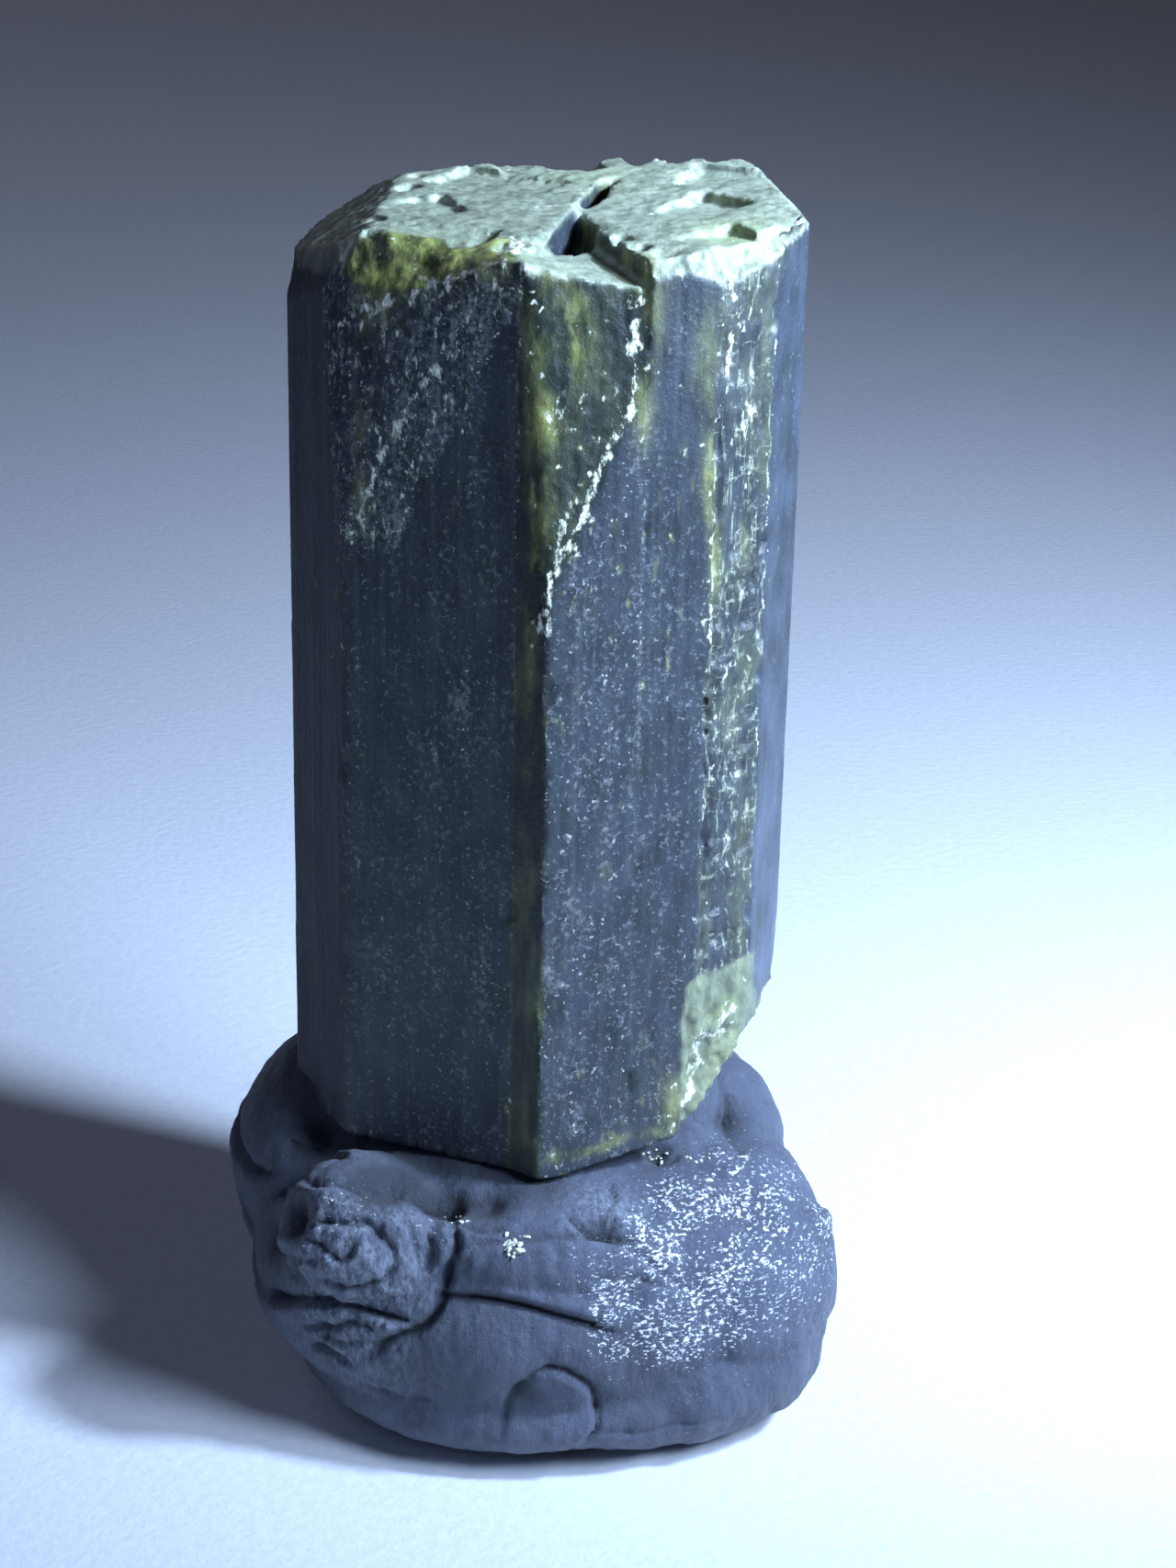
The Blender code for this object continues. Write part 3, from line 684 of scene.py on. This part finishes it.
blue_left = on_side(straight, "front", "seam")
blue_right = on_side(straight, "seam", "right_front")
left_face = on_side(straight, "left", "inner_left")
right_side = on_side(straight, "right", "far_right")
foot = np.zeros(len(places))
for point, facing in BREAK_PLANES:
    off = np.abs((straight - np.array(point)) @ (np.array(facing) / np.linalg.norm(facing)))
    foot = np.maximum(foot, np.clip(1.6 - off / 0.14, 0.0, 1.0) * (facings @ np.array(facing) > 0.70))
for middle, radius in BREAK_SCOOPS:
    foot = np.maximum(foot, np.linalg.norm((straight - np.array(middle)) * (1, 1, 0.8), axis=1) < radius)
foot = np.maximum(foot, foot_slope) * (places[:, 2] < BREAK_TOP) * (straight[:, 0] > 2.4)
blue_left, blue_right = blue_left * (1.0 - foot) * (1.0 - front_bevel), blue_right * (1.0 - foot)
# The front bevel's rough finish ends along a line across it, through two places in the picture, and
# the blue of the face runs on above the bevel's foot.
BEVEL_EDGE = ((694, 444), (604, 650))
edge_top, edge_foot = (
    np.array(crystal_skin.ray_cast(CAMERA_PLACE / MM, sight_line(*spot))[0]) for spot in BEVEL_EDGE
)
edge = (edge_foot - edge_top) / np.hypot(edge_foot[0] - edge_top[0], edge_foot[2] - edge_top[2])
above = (places[:, 0] - edge_top[0]) * edge[2] - (places[:, 2] - edge_top[2]) * edge[0]
rough_here = np.clip(0.5 + above / 0.25, 0.0, 1.0)
blue_left = np.maximum(blue_left, front_bevel * (1.0 - rough_here))
front_bevel = front_bevel * rough_here
ladder = ladder * (1.0 - foot)

# No region ends in a ruled line.
top = blurred(crystal_mesh, top * (1.0 - olive_band) * (1.0 - front_bevel), 2)
uneven = 0.5 * relief(places, (1.3, 1.3, 1.0), 4.0, 61.0)
front_bevel, speckled, olive_band, foot = (
    np.clip(3.0 * (blurred(crystal_mesh, region.astype(float), 8) + 0.5 * uneven) - 1.0, 0.0, 1.0)
    for region in (front_bevel, speckled, olive_band, foot)
)
ladder = ladder * (1.0 - top)

# Wear: the rims and chips of the solid, and its upright edges, each as worn as it shows.
RIM_WEAR = 0.15
EDGE_WEAR = {
    "far_left": (0.10, 0.12), "left": (0.16, 0.36), "inner_left": (0.05, 0.30), "front": (0.10, 0.38),
    "seam": (0.05, 0.30), "right_front": (0.08, 0.35), "right": (0.07, 0.72), "far_right": (0.10, 0.25),
}
rim_points = []
for edge in rough_crystals.edges:
    if len(edge.link_faces) == 2 and edge.calc_face_angle(0.0) > math.radians(38):
        start, end = (v.co for v in edge.verts)
        if abs(end.z - start.z) < 0.9 * edge.calc_length():
            steps = max(int(edge.calc_length() / 0.06), 1)
            rim_points += [start.lerp(end, i / steps) for i in range(steps + 1)]
rims = KDTree(len(rim_points))
for i, point in enumerate(rim_points):
    rims.insert(point, i)
rims.balance()
to_rim = np.array([rims.find(p)[2] for p in places.tolist()])
wear = np.exp(-((to_rim / RIM_WEAR) ** 2)) * np.where(places[:, 2] > 26.0, 0.32, 0.40)
for name, (width, share) in EDGE_WEAR.items():
    wear = np.maximum(wear, share * np.exp(-((to_corner(straight, name) / width) ** 2)))

moved = np.zeros(len(places))
upright = np.clip(1.0 - np.abs(facings[:, 2]) * 2.0, 0.0, 1.0)
# Growth lines run the whole length of the prisms.
lines = relief(straight, (4.5, 4.5, 0.05), 4.0)
moved += upright * (0.012 * lines - 0.010 * np.abs(relief(straight, (9.0, 9.0, 0.25), 2.0, 5.0)))
# The tops are etched into hummocks and thin ridges.
hummocks = relief(places, (1.1, 1.1, 1.1), 4.0, 11.0)
small = relief(places, (4.5, 4.5, 4.5), 3.0, 2.0)
ridges = 1.0 - np.minimum(np.abs(relief(places, (1.8, 1.8, 1.8), 3.0, 31.0)) * 6.0, 1.0)
moved += top * (0.035 * hummocks + 0.020 * small + 0.025 * ridges - 0.02)
# The ladder face is fluted along its length and, between two heights, broken across in steps.
RUNG_HEIGHTS = (12.0, 23.5)
flutes = relief(straight, (3.6, 3.6, 0.30), 4.0, 17.0)
steps_across = np.floor(relief(straight, (1.0, 1.0, 2.2), 3.0, 23.0) * 5.0) / 5.0
in_ladder = np.clip((straight[:, 2] - RUNG_HEIGHTS[0]) / 1.0, 0.0, 1.0)
in_ladder *= np.clip((RUNG_HEIGHTS[1] - straight[:, 2]) / 1.5, 0.0, 1.0)
moved += ladder * (0.07 * flutes + 0.10 * steps_across * (0.3 + 0.7 * in_ladder) - 0.03)
# The bevels and the broken foot are fractures.
fracture = relief(places, (1.8, 1.8, 1.2), 4.0, 41.0)
moved += front_bevel * (0.022 * fracture + 0.02 * small - 0.02)
moved += speckled * (0.02 * fracture + 0.02 * small)
moved += olive_band * (0.04 * fracture + 0.02 * small)
moved += foot * (0.16 * fracture + 0.05 * small)
moved += crack_wall * 0.06 * fracture
moved += right_rim * (0.10 * fracture + 0.05 * small)
# Worn edges lose little bites.
bites = np.clip(relief(places, (3.4, 3.4, 1.6), 3.0, 53.0) - 0.08, 0.0, 1.0)
moved -= wear * (0.010 + 0.12 * bites)
# A dark groove runs down the ladder face beside its front edge.
GROOVE_BESIDE = 0.16
GROOVE_WIDTH = 0.09
GROOVE_DEPTH = 0.12
beside = to_corner(straight, "right_front") + 0.5 * uneven * 0.3
groove = ladder * np.exp(-(((beside - GROOVE_BESIDE) / GROOVE_WIDTH) ** 2))
moved -= GROOVE_DEPTH * groove
# Low on the foot, where the putty holds it, little of this is carved.
FOOT_LEVEL = 7.4
moved *= np.clip((places[:, 2] - FOOT_LEVEL) / 0.5, 0.15, 1.0)

# Patches seen in the picture: a place, its half width and half height in millimetres, a strength.
DUST_PATCHES = (
    ((500, 770), 0.45, 2.2, 0.75), ((525, 800), 0.5, 1.8, 0.40), ((520, 960), 0.6, 1.6, 0.50),
    ((530, 1060), 0.7, 2.2, 0.60), ((415, 1040), 0.35, 2.2, 0.50), ((515, 520), 0.25, 2.2, 0.45),
    ((395, 780), 0.30, 4.0, 0.35), ((400, 980), 0.30, 3.0, 0.35), ((470, 860), 0.5, 0.3, 0.40),
    ((625, 1225), 0.5, 0.6, 0.80), ((600, 1060), 0.35, 0.8, 0.90), ((560, 980), 0.3, 1.0, 0.35),
    ((350, 1150), 0.8, 1.0, 0.30), ((440, 700), 0.8, 3.0, 0.25), ((620, 620), 0.4, 1.0, 0.50),
    ((725, 330), 0.6, 1.4, 0.45), ((740, 430), 0.5, 1.2, 0.45), ((690, 520), 0.4, 1.0, 0.45),
)
# The olive patches and lines are partly a painted glow of light shining through the crystal.
OLIVE_PATCHES = (
    ((440, 280), 0.9, 0.7, 1.00), ((520, 280), 0.9, 0.5, 1.00), ((410, 320), 0.5, 0.8, 0.60),
    ((579, 690), 0.22, 1.2, 1.00), ((585, 600), 0.25, 1.0, 0.70), ((625, 365), 0.45, 1.1, 0.75),
    ((595, 460), 0.35, 0.7, 0.70), ((600, 300), 0.5, 0.3, 0.40), ((700, 285), 0.45, 0.7, 0.80),
    ((775, 520), 0.20, 1.4, 0.80), ((782, 610), 0.20, 1.0, 0.50), ((705, 330), 0.30, 1.0, 0.50),
    ((392, 470), 0.22, 1.0, 0.40), ((395, 540), 0.25, 0.9, 0.35), ((580, 1000), 0.25, 2.0, 0.35),
    ((790, 1095), 0.8, 0.6, 0.90), ((735, 1200), 0.35, 0.7, 0.55), ((815, 560), 0.3, 0.9, 0.55),
    ((800, 260), 0.9, 0.6, 0.90), ((770, 400), 0.3, 1.2, 0.35), ((640, 190), 1.2, 1.2, 0.35),
    ((835, 260), 0.4, 0.5, 0.60), ((700, 440), 0.25, 0.8, 0.50),
)
FLECK_PATCHES = (
    ((645, 470), 0.50, 0.8, 0.62), ((610, 440), 0.45, 0.9, 0.62), ((612, 575), 0.25, 0.9, 0.70),
    ((675, 430), 0.30, 0.7, 0.55), ((705, 420), 0.25, 0.7, 0.40), ((655, 340), 0.5, 1.0, 0.30),
    ((815, 440), 0.50, 1.3, 0.85), ((812, 330), 0.45, 1.2, 0.45), ((808, 530), 0.40, 1.0, 0.55),
    ((790, 680), 0.30, 1.2, 0.50), ((783, 740), 0.25, 1.4, 0.55), ((795, 850), 0.40, 0.7, 0.55),
    ((850, 420), 0.20, 1.6, 0.50), ((430, 420), 0.30, 1.0, 0.40), ((500, 330), 0.6, 0.4, 0.40),
    ((400, 245), 0.35, 0.35, 0.80), ((560, 265), 0.8, 0.35, 1.00), ((590, 225), 0.6, 0.5, 0.95),
    ((655, 185), 0.4, 0.6, 0.70), ((835, 270), 0.25, 0.7, 0.80), ((760, 300), 0.6, 0.25, 0.50),
    ((815, 1105), 0.4, 0.5, 0.35), ((745, 1215), 0.25, 0.5, 0.55), ((600, 1250), 0.20, 0.7, 0.55),
    ((650, 930), 1.4, 0.35, 0.30), ((700, 1040), 1.2, 1.2, 0.22), ((810, 1065), 0.3, 0.3, 0.55),
)
# Bruised lines: the line that each follows in the picture, its half width in millimetres, a strength.
FLECK_LINES = (
    (((392, 357), (408, 338), (445, 320), (495, 302), (550, 281)), 0.17, 1.00),
    (((476, 400), (445, 438), (423, 481), (405, 524), (389, 568)), 0.12, 1.00),
    (((693, 300), (694, 350), (692, 400), (690, 444)), 0.12, 0.94),
    (((690, 444), (662, 487), (646, 530), (637, 560), (612, 599), (600, 636), (597, 690)), 0.17, 0.94),
    (((589, 405), (592, 440), (600, 470), (625, 470)), 0.12, 0.75),
    (((610, 560), (625, 545), (640, 555)), 0.10, 0.75),
    (((795, 300), (797, 375), (788, 450), (783, 543), (779, 611), (776, 700)), 0.12, 1.00),
    (((776, 700), (773, 780), (769, 850), (766, 930), (762, 1010)), 0.10, 0.78),
    (((796, 1095), (786, 1115), (776, 1128), (764, 1126)), 0.17, 1.00),
    (((762, 1132), (757, 1155), (752, 1180), (747, 1200)), 0.19, 1.00),
    (((720, 1170), (713, 1195), (720, 1225), (735, 1235)), 0.09, 0.75),
    (((745, 1040), (775, 1028), (808, 1012)), 0.09, 0.69),
    (((772, 727), (812, 722)), 0.07, 0.75), (((774, 850), (812, 842)), 0.10, 0.81),
    (((768, 945), (806, 937)), 0.09, 0.69), (((770, 985), (800, 977)), 0.09, 0.56),
    (((388, 770), (390, 795), (399, 806)), 0.09, 0.69), (((700, 690), (701, 760)), 0.07, 0.44),
    (((760, 640), (752, 720), (748, 800)), 0.10, 0.44),
)
OLIVE_LINES = (
    (((600, 1262), (640, 1255), (680, 1240), (715, 1232), (745, 1225)), 0.12, 0.45),
    (((580, 520), (578, 620), (577, 700)), 0.10, 0.60),
)


def patches_on(places, patches):
    """Soft upright patches round the places of the crystals that the picture's points show."""
    total = np.zeros(len(places))
    for spot, wide, high, strength in patches:
        hit = crystal_skin.ray_cast(CAMERA_PLACE / MM, sight_line(*spot))[0]
        away = places - np.array(hit)
        far = (away[:, 0] ** 2 + away[:, 1] ** 2) / wide**2 + away[:, 2] ** 2 / high**2
        total = np.maximum(total, strength * np.exp(-far))
    return total


def lines_on(places, lines):
    """Ragged lines along the places of the crystals that the picture's points show."""
    total = np.zeros(len(places))
    ragged = 1.0 + 1.6 * relief(places, (3.5, 3.5, 3.5), 2.0, 91.0)
    for points, half_width, strength in lines:
        hits = [crystal_skin.ray_cast(CAMERA_PLACE / MM, sight_line(*spot))[0] for spot in points]
        hits = [np.array(hit) for hit in hits if hit is not None]
        for start, end in zip(hits[:-1], hits[1:]):
            step = end - start
            share = np.clip((places - start) @ step / (step @ step), 0.0, 1.0)
            far = np.linalg.norm(places - (start + share[:, None] * step), axis=1) * ragged
            total = np.maximum(total, strength * np.exp(-((far / half_width) ** 2)))
    return total


dust = np.maximum.reduce([
    0.42 * blue_left, 0.34 * blue_right, 0.34 * left_face, 0.70 * speckled, 0.16 * ladder, 0.02 * front_bevel,
    0.20 * right_side, patches_on(places, DUST_PATCHES), np.full(len(places), 0.18),
])
dust *= (1.0 - 0.8 * strip * (1.0 - blue_left)) * (1.0 - 0.85 * front_bevel)
# Above the foot of the bevel the blue of the right prism gives way to dark green.
dust *= 1.0 - 0.45 * blue_right * np.clip((straight[:, 2] - 22.0) / 4.0, 0.0, 1.0)
for name, width, share in (("inner_left", 0.09, 0.80), ("seam", 0.08, 0.60)):
    share = share * np.where(straight[:, 2] > 20.0, 1.0, 0.7)
    dust = np.maximum(dust, share * np.exp(-((to_corner(straight, name) / width) ** 2)))
lower = np.clip((20.0 - straight[:, 2]) / 8.0, 0.0, 1.0)
# Painted sheen: a bluish film of colour standing in for the reflection of the cool light, faint everywhere,
# strongest on the right side and low down.
painted_sheen = np.maximum.reduce([
    (0.36 + 0.30 * lower) * right_side, (0.12 + 0.08 * lower) * blue_left, 0.07 * blue_right, 0.06 * ladder,
    np.full(len(places), 0.24), 0.30 * (straight[:, 0] > 4.6),
])
painted_sheen = blurred(crystal_mesh, painted_sheen, 6) * (1.0 + 1.2 * uneven)
painted_sheen = painted_sheen * (1.0 - 0.85 * front_bevel) * (1.0 - 0.3 * strip)
# Olive: the mineral's own green, in places brightened into a painted glow of light shining through the
# crystal.
olive = np.maximum.reduce([
    olive_band, 0.07 * front_bevel, 0.60 * crack_wall, 0.20 * strip, 0.36 * foot, 0.10 * ladder,
    patches_on(places, OLIVE_PATCHES), lines_on(places, OLIVE_LINES),
])
flecks = np.maximum.reduce([
    0.34 * top, 0.58 * speckled, 0.20 * ladder, 0.24 * foot, 0.30 * right_rim,
    0.12 * left_face, 0.25 * olive_band, wear,
    patches_on(places, FLECK_PATCHES), lines_on(places, FLECK_LINES),
])
flecks = flecks * (1.0 - 0.8 * groove)
frost = np.maximum.reduce([top, 0.70 * right_rim, 0.42 * foot])
finishes = {"dust": dust, "olive": olive, "flecks": flecks, "frost": frost, "rungs": ladder, "painted_sheen": painted_sheen}
for name, values in finishes.items():
    store(crystal_mesh, name, values)
move_to(crystal_mesh, places + facings * moved[:, None])
triangles = 2 * len(crystal_mesh.polygons)
crystal_mesh = through_modifier(crystal_mesh, "DECIMATE", ratio=min(CRYSTAL_TRIANGLES / triangles, 1.0))

BODY = (0.007, 0.012, 0.009, 1.0)
MOTTLE = (0.019, 0.030, 0.024, 1.0)
# The colour of the painted sheen.
PAINTED_SHEEN = (0.100, 0.120, 0.165, 1.0)
DUST = (0.175, 0.190, 0.195, 1.0)
OLIVE_DEEP = (0.026, 0.032, 0.008, 1.0)
# The painted glow's brightest olive.
OLIVE_GLOW_BRIGHT = (0.450, 0.470, 0.130, 1.0)
LIME = (0.400, 0.480, 0.200, 1.0)
FROST_DIM = (0.225, 0.260, 0.180, 1.0)
FROST = (0.410, 0.445, 0.310, 1.0)
WHITE = (0.950, 0.930, 0.820, 1.0)
CRYSTAL_IOR = 1.50


def share_above(tree, pattern, amount, least, most, soft):
    """1 where the pattern passes a level, which falls as the amount rises, so more is covered."""
    level = between(tree, amount, 0.0, 1.0, least, most)
    return between(tree, pattern, level, plus(tree, level, soft))


def crystal_material():
    made, tree = empty_material("epidote")
    where = in_millimetres(tree, turn=-GROUP_LEAN)
    upright_where = in_millimetres(tree, (1.0, 1.0, 0.40), -GROUP_LEAN)
    along = in_millimetres(tree, (1.0, 1.0, 0.05), -GROUP_LEAN)
    growth = cloudy(tree, along, 5.0, 6.0, 0.6)
    patches = cloudy(tree, upright_where, 1.1, 6.0, 0.65)
    grit = cloudy(tree, where, 6.5, 4.0, 0.75)
    broken = cloudy(tree, upright_where, 3.2, 7.0, 0.70)
    shards = cloudy(tree, in_millimetres(tree, (1.0, 1.0, 0.5), -GROUP_LEAN), 5.5, 5.0, 0.78)
    dust = stored(tree, "dust")

    veil = between(tree, patches, 0.35, 0.65, 0.40, 1.45)
    dusty = share_above(tree, grit, times(tree, dust, veil), 0.64, 0.38, 0.16)
    colour = blended(tree, between(tree, broken, 0.44, 0.68), BODY, MOTTLE)
    # Painted sheen over the faces.
    colour = blended(tree, stored(tree, "painted_sheen"), colour, PAINTED_SHEEN)
    colour = blended(tree, dusty, colour, DUST)
    streaks = times(tree, between(tree, growth, 0.50, 0.75, 0.0, 0.45), dust)
    colour = blended(tree, streaks, colour, DUST)
    sparks = cloudy(tree, where, 7.5, 2.0, 0.6)
    sparks = times(tree, between(tree, sparks, 0.66, 0.70), between(tree, dust, 0.25, 0.55))
    # A painted glow: bright olive where light shines through the crystal's thin parts.
    painted_glow = blended(tree, between(tree, patches, 0.42, 0.60), OLIVE_DEEP, OLIVE_GLOW_BRIGHT)
    painted_light_through = times(tree, stored(tree, "olive"), between(tree, broken, 0.34, 0.56, 0.50, 1.0))
    colour = blended(tree, painted_light_through, colour, painted_glow)
    etched = blended(tree, between(tree, broken, 0.40, 0.60), FROST_DIM, FROST)
    etched = blended(tree, times(tree, stored(tree, "olive"), 0.6), etched, LIME)
    colour = blended(tree, stored(tree, "frost"), colour, etched)
    white = share_above(tree, shards, stored(tree, "flecks"), 0.74, 0.42, 0.13)
    lying = cloudy(tree, in_millimetres(tree, (0.4, 0.4, 1.5), -GROUP_LEAN), 1.0, 4.0, 0.60)
    standing = cloudy(tree, in_millimetres(tree, (2.2, 2.2, 0.12), -GROUP_LEAN), 1.0, 4.0, 0.60)
    lying = times(tree, between(tree, lying, 0.475, 0.495), between(tree, lying, 0.52, 0.50))
    standing = times(tree, between(tree, standing, 0.465, 0.49), between(tree, standing, 0.525, 0.50))
    rungs = times(tree, plus(tree, lying, standing), between(tree, broken, 0.48, 0.62, 0.0, 0.8))
    rungs = times(tree, rungs, stored(tree, "rungs"))
    colour = blended(tree, rungs, colour, FROST)
    colour = blended(tree, between(tree, white, 0.0, 0.5), colour, FROST)
    brightest = plus(tree, between(tree, white, 0.45, 1.0), times(tree, sparks, 0.6))
    colour = blended(tree, brightest, colour, WHITE)

    roughness = plus(tree, between(tree, grit, 0.3, 0.7, 0.34, 0.50), times(tree, white, 0.15))
    height = plus(tree, times(tree, growth, 0.4), times(tree, grit, 1.0))
    bump = add(tree, "ShaderNodeBump", {"Strength": 0.5, "Distance": 0.00006, "Height": height})
    shader = add(tree, "ShaderNodeBsdfPrincipled", {
        "Base Color": colour, "Roughness": roughness, "Normal": bump.outputs[0], "IOR": CRYSTAL_IOR})
    show(tree, shader)
    return made


crystals = finished("crystal_group", crystal_mesh, "epidote_crystals")
crystals.data.materials.clear()
crystals.data.materials.append(crystal_material())

# Crumbs of the same mineral lie in the putty where the foot broke and where it was pushed in.
# Each cluster: its middle and reach in the picture, how many crumbs, and their mean size in millimetres.
CRUMB_CLUSTERS = (
    ((559, 1357), (13, 11), 22, 0.075), ((712, 1258), (20, 8), 12, 0.050), ((500, 1328), (22, 6), 7, 0.038),
    ((655, 1400), (50, 30), 9, 0.032), ((762, 1262), (14, 10), 8, 0.045), ((400, 1310), (40, 14), 5, 0.030),
)
CRUMB_SEED = 3
CRUMB_IOR = 1.74


def crumb_pile():
    chance = random.Random(CRUMB_SEED)
    pressed = BVHTree.FromPolygons(
        [(v.co / MM)[:] for v in putty.data.vertices], [p.vertices[:] for p in putty.data.polygons]
    )
    pile = bmesh.new()
    for (x, y), (wide, high), count, size in CRUMB_CLUSTERS:
        for _ in range(count):
            spot = putty_seen_at(pressed, x + chance.gauss(0, wide / 2), y + chance.gauss(0, high / 2))
            radius = size * chance.uniform(0.6, 1.5)
            crumb = bmesh.ops.create_icosphere(pile, subdivisions=1, radius=radius)["verts"]
            for vert in crumb:
                vert.co *= chance.uniform(0.45, 1.4)
            stretch = Matrix.Diagonal((
                chance.uniform(0.6, 1.7), chance.uniform(0.6, 1.2), chance.uniform(0.4, 0.9), 1
            ))
            spin = Matrix.Rotation(chance.uniform(0, math.tau), 4, "Z")
            tip = Matrix.Rotation(chance.uniform(-0.8, 0.8), 4, "X")
            place = Matrix.Translation(Vector(spot)) @ (spin @ tip) @ stretch
            bmesh.ops.transform(pile, matrix=place, verts=crumb)
    bmesh.ops.recalc_face_normals(pile, faces=pile.faces)
    mesh = bpy.data.meshes.new("crumbs")
    pile.to_mesh(mesh)
    pile.free()
    return mesh


def crumb_material():
    made, tree = empty_material("crumbs")
    pattern = cloudy(tree, in_millimetres(tree), 6.0, 5.0, 0.7)
    colour = blended(tree, between(tree, pattern, 0.4, 0.6), FROST, WHITE)
    roughness = between(tree, pattern, 0.3, 0.7, 0.35, 0.6)
    shader = add(tree, "ShaderNodeBsdfPrincipled", {
        "Base Color": colour, "Roughness": roughness, "IOR": CRUMB_IOR})
    show(tree, shader)
    return made


crumbs = finished("crystal_crumbs", crumb_pile(), None)
crumbs.data.shade_flat()
crumbs.data.materials.append(crumb_material())

# The table is plain pale paper, lit by one near lamp at the right that fades into the distance,
# with a weak cool fill.
PAPER = (0.800, 0.805, 0.815, 1.0)
PAPER_GREY = (0.740, 0.750, 0.770, 1.0)
PAPER_HALF_SIDE = 1.5
KEY_PLACE = Vector((0.0465, -0.0175, 0.054))
KEY_AIM = Vector((-0.020, 0.060, 0.0))
KEY_RADIUS = 0.0045
KEY_CONE = math.radians(104)
KEY_WATTS = 0.53
KEY_COLOUR = (0.52, 0.69, 1.0)
SIDE_PLACE = Vector((0.047, -0.036, 0.050))
SIDE_AIM = Vector((0.0, 0.010, 0.008))
SIDE_SIZE = 0.024
SIDE_WATTS = 0.062
SIDE_COLOUR = (0.52, 0.69, 1.0)
FILL_PLACE = Vector((-0.12, -0.24, 0.22))
FILL_AIM = Vector((0.0, 0.0, 0.01))
FILL_WATTS = 0.11
FILL_COLOUR = (0.32, 0.48, 1.0)
BACK_PLACE = Vector((-0.22, 0.22, 0.24))
BACK_WATTS = 0.10
BACK_COLOUR = (0.68, 0.72, 0.95)
FILL_SIZE = 0.25
WORLD_COLOUR = (0.013, 0.010, 0.007, 1.0)
WORLD_STRENGTH = 1.0

ground = bmesh.new()
bmesh.ops.create_grid(ground, x_segments=1, y_segments=1, size=PAPER_HALF_SIDE)
paper_mesh = bpy.data.meshes.new("paper")
ground.to_mesh(paper_mesh)
ground.free()
paper = bpy.data.objects.new("paper", paper_mesh)
bpy.context.scene.collection.objects.link(paper)
paper_finish, tree = empty_material("paper")
paper_grain = cloudy(tree, in_millimetres(tree), 3.0, 6.0, 0.6)
paper_colour = blended(tree, between(tree, paper_grain, 0.35, 0.65), PAPER, PAPER_GREY)
paper_bump = add(tree, "ShaderNodeBump", {"Strength": 0.35, "Distance": 0.0001, "Height": paper_grain})
paper_shader = add(tree, "ShaderNodeBsdfPrincipled", {
    "Base Color": paper_colour, "Roughness": 0.85, "Normal": paper_bump.outputs[0]})
show(tree, paper_shader)
paper_mesh.materials.append(paper_finish)


def lamp(name, kind, place, aim, watts, colour, **settings):
    data = bpy.data.lights.new(name, kind)
    data.energy = watts
    data.color = colour
    for setting, value in settings.items():
        setattr(data, setting, value)
    made = bpy.data.objects.new(name, data)
    made.location = place
    made.rotation_euler = (place - aim).to_track_quat("Z", "Y").to_euler()
    bpy.context.scene.collection.objects.link(made)


lamp("key", "SPOT", KEY_PLACE, KEY_AIM, KEY_WATTS, KEY_COLOUR,
     shadow_soft_size=KEY_RADIUS, spot_size=KEY_CONE, spot_blend=1.0)
lamp("side", "AREA", SIDE_PLACE, SIDE_AIM, SIDE_WATTS, SIDE_COLOUR, shape="DISK", size=SIDE_SIZE)
lamp("fill", "AREA", FILL_PLACE, FILL_AIM, FILL_WATTS, FILL_COLOUR, shape="DISK", size=FILL_SIZE)
lamp("back_fill", "AREA", BACK_PLACE, FILL_AIM, BACK_WATTS, BACK_COLOUR, shape="DISK", size=FILL_SIZE)
world = bpy.data.worlds.new("room")
world.use_nodes = True
world.node_tree.nodes["Background"].inputs["Color"].default_value = WORLD_COLOUR
world.node_tree.nodes["Background"].inputs["Strength"].default_value = WORLD_STRENGTH
bpy.context.scene.world = world
bpy.context.scene.view_settings.view_transform = "Standard"
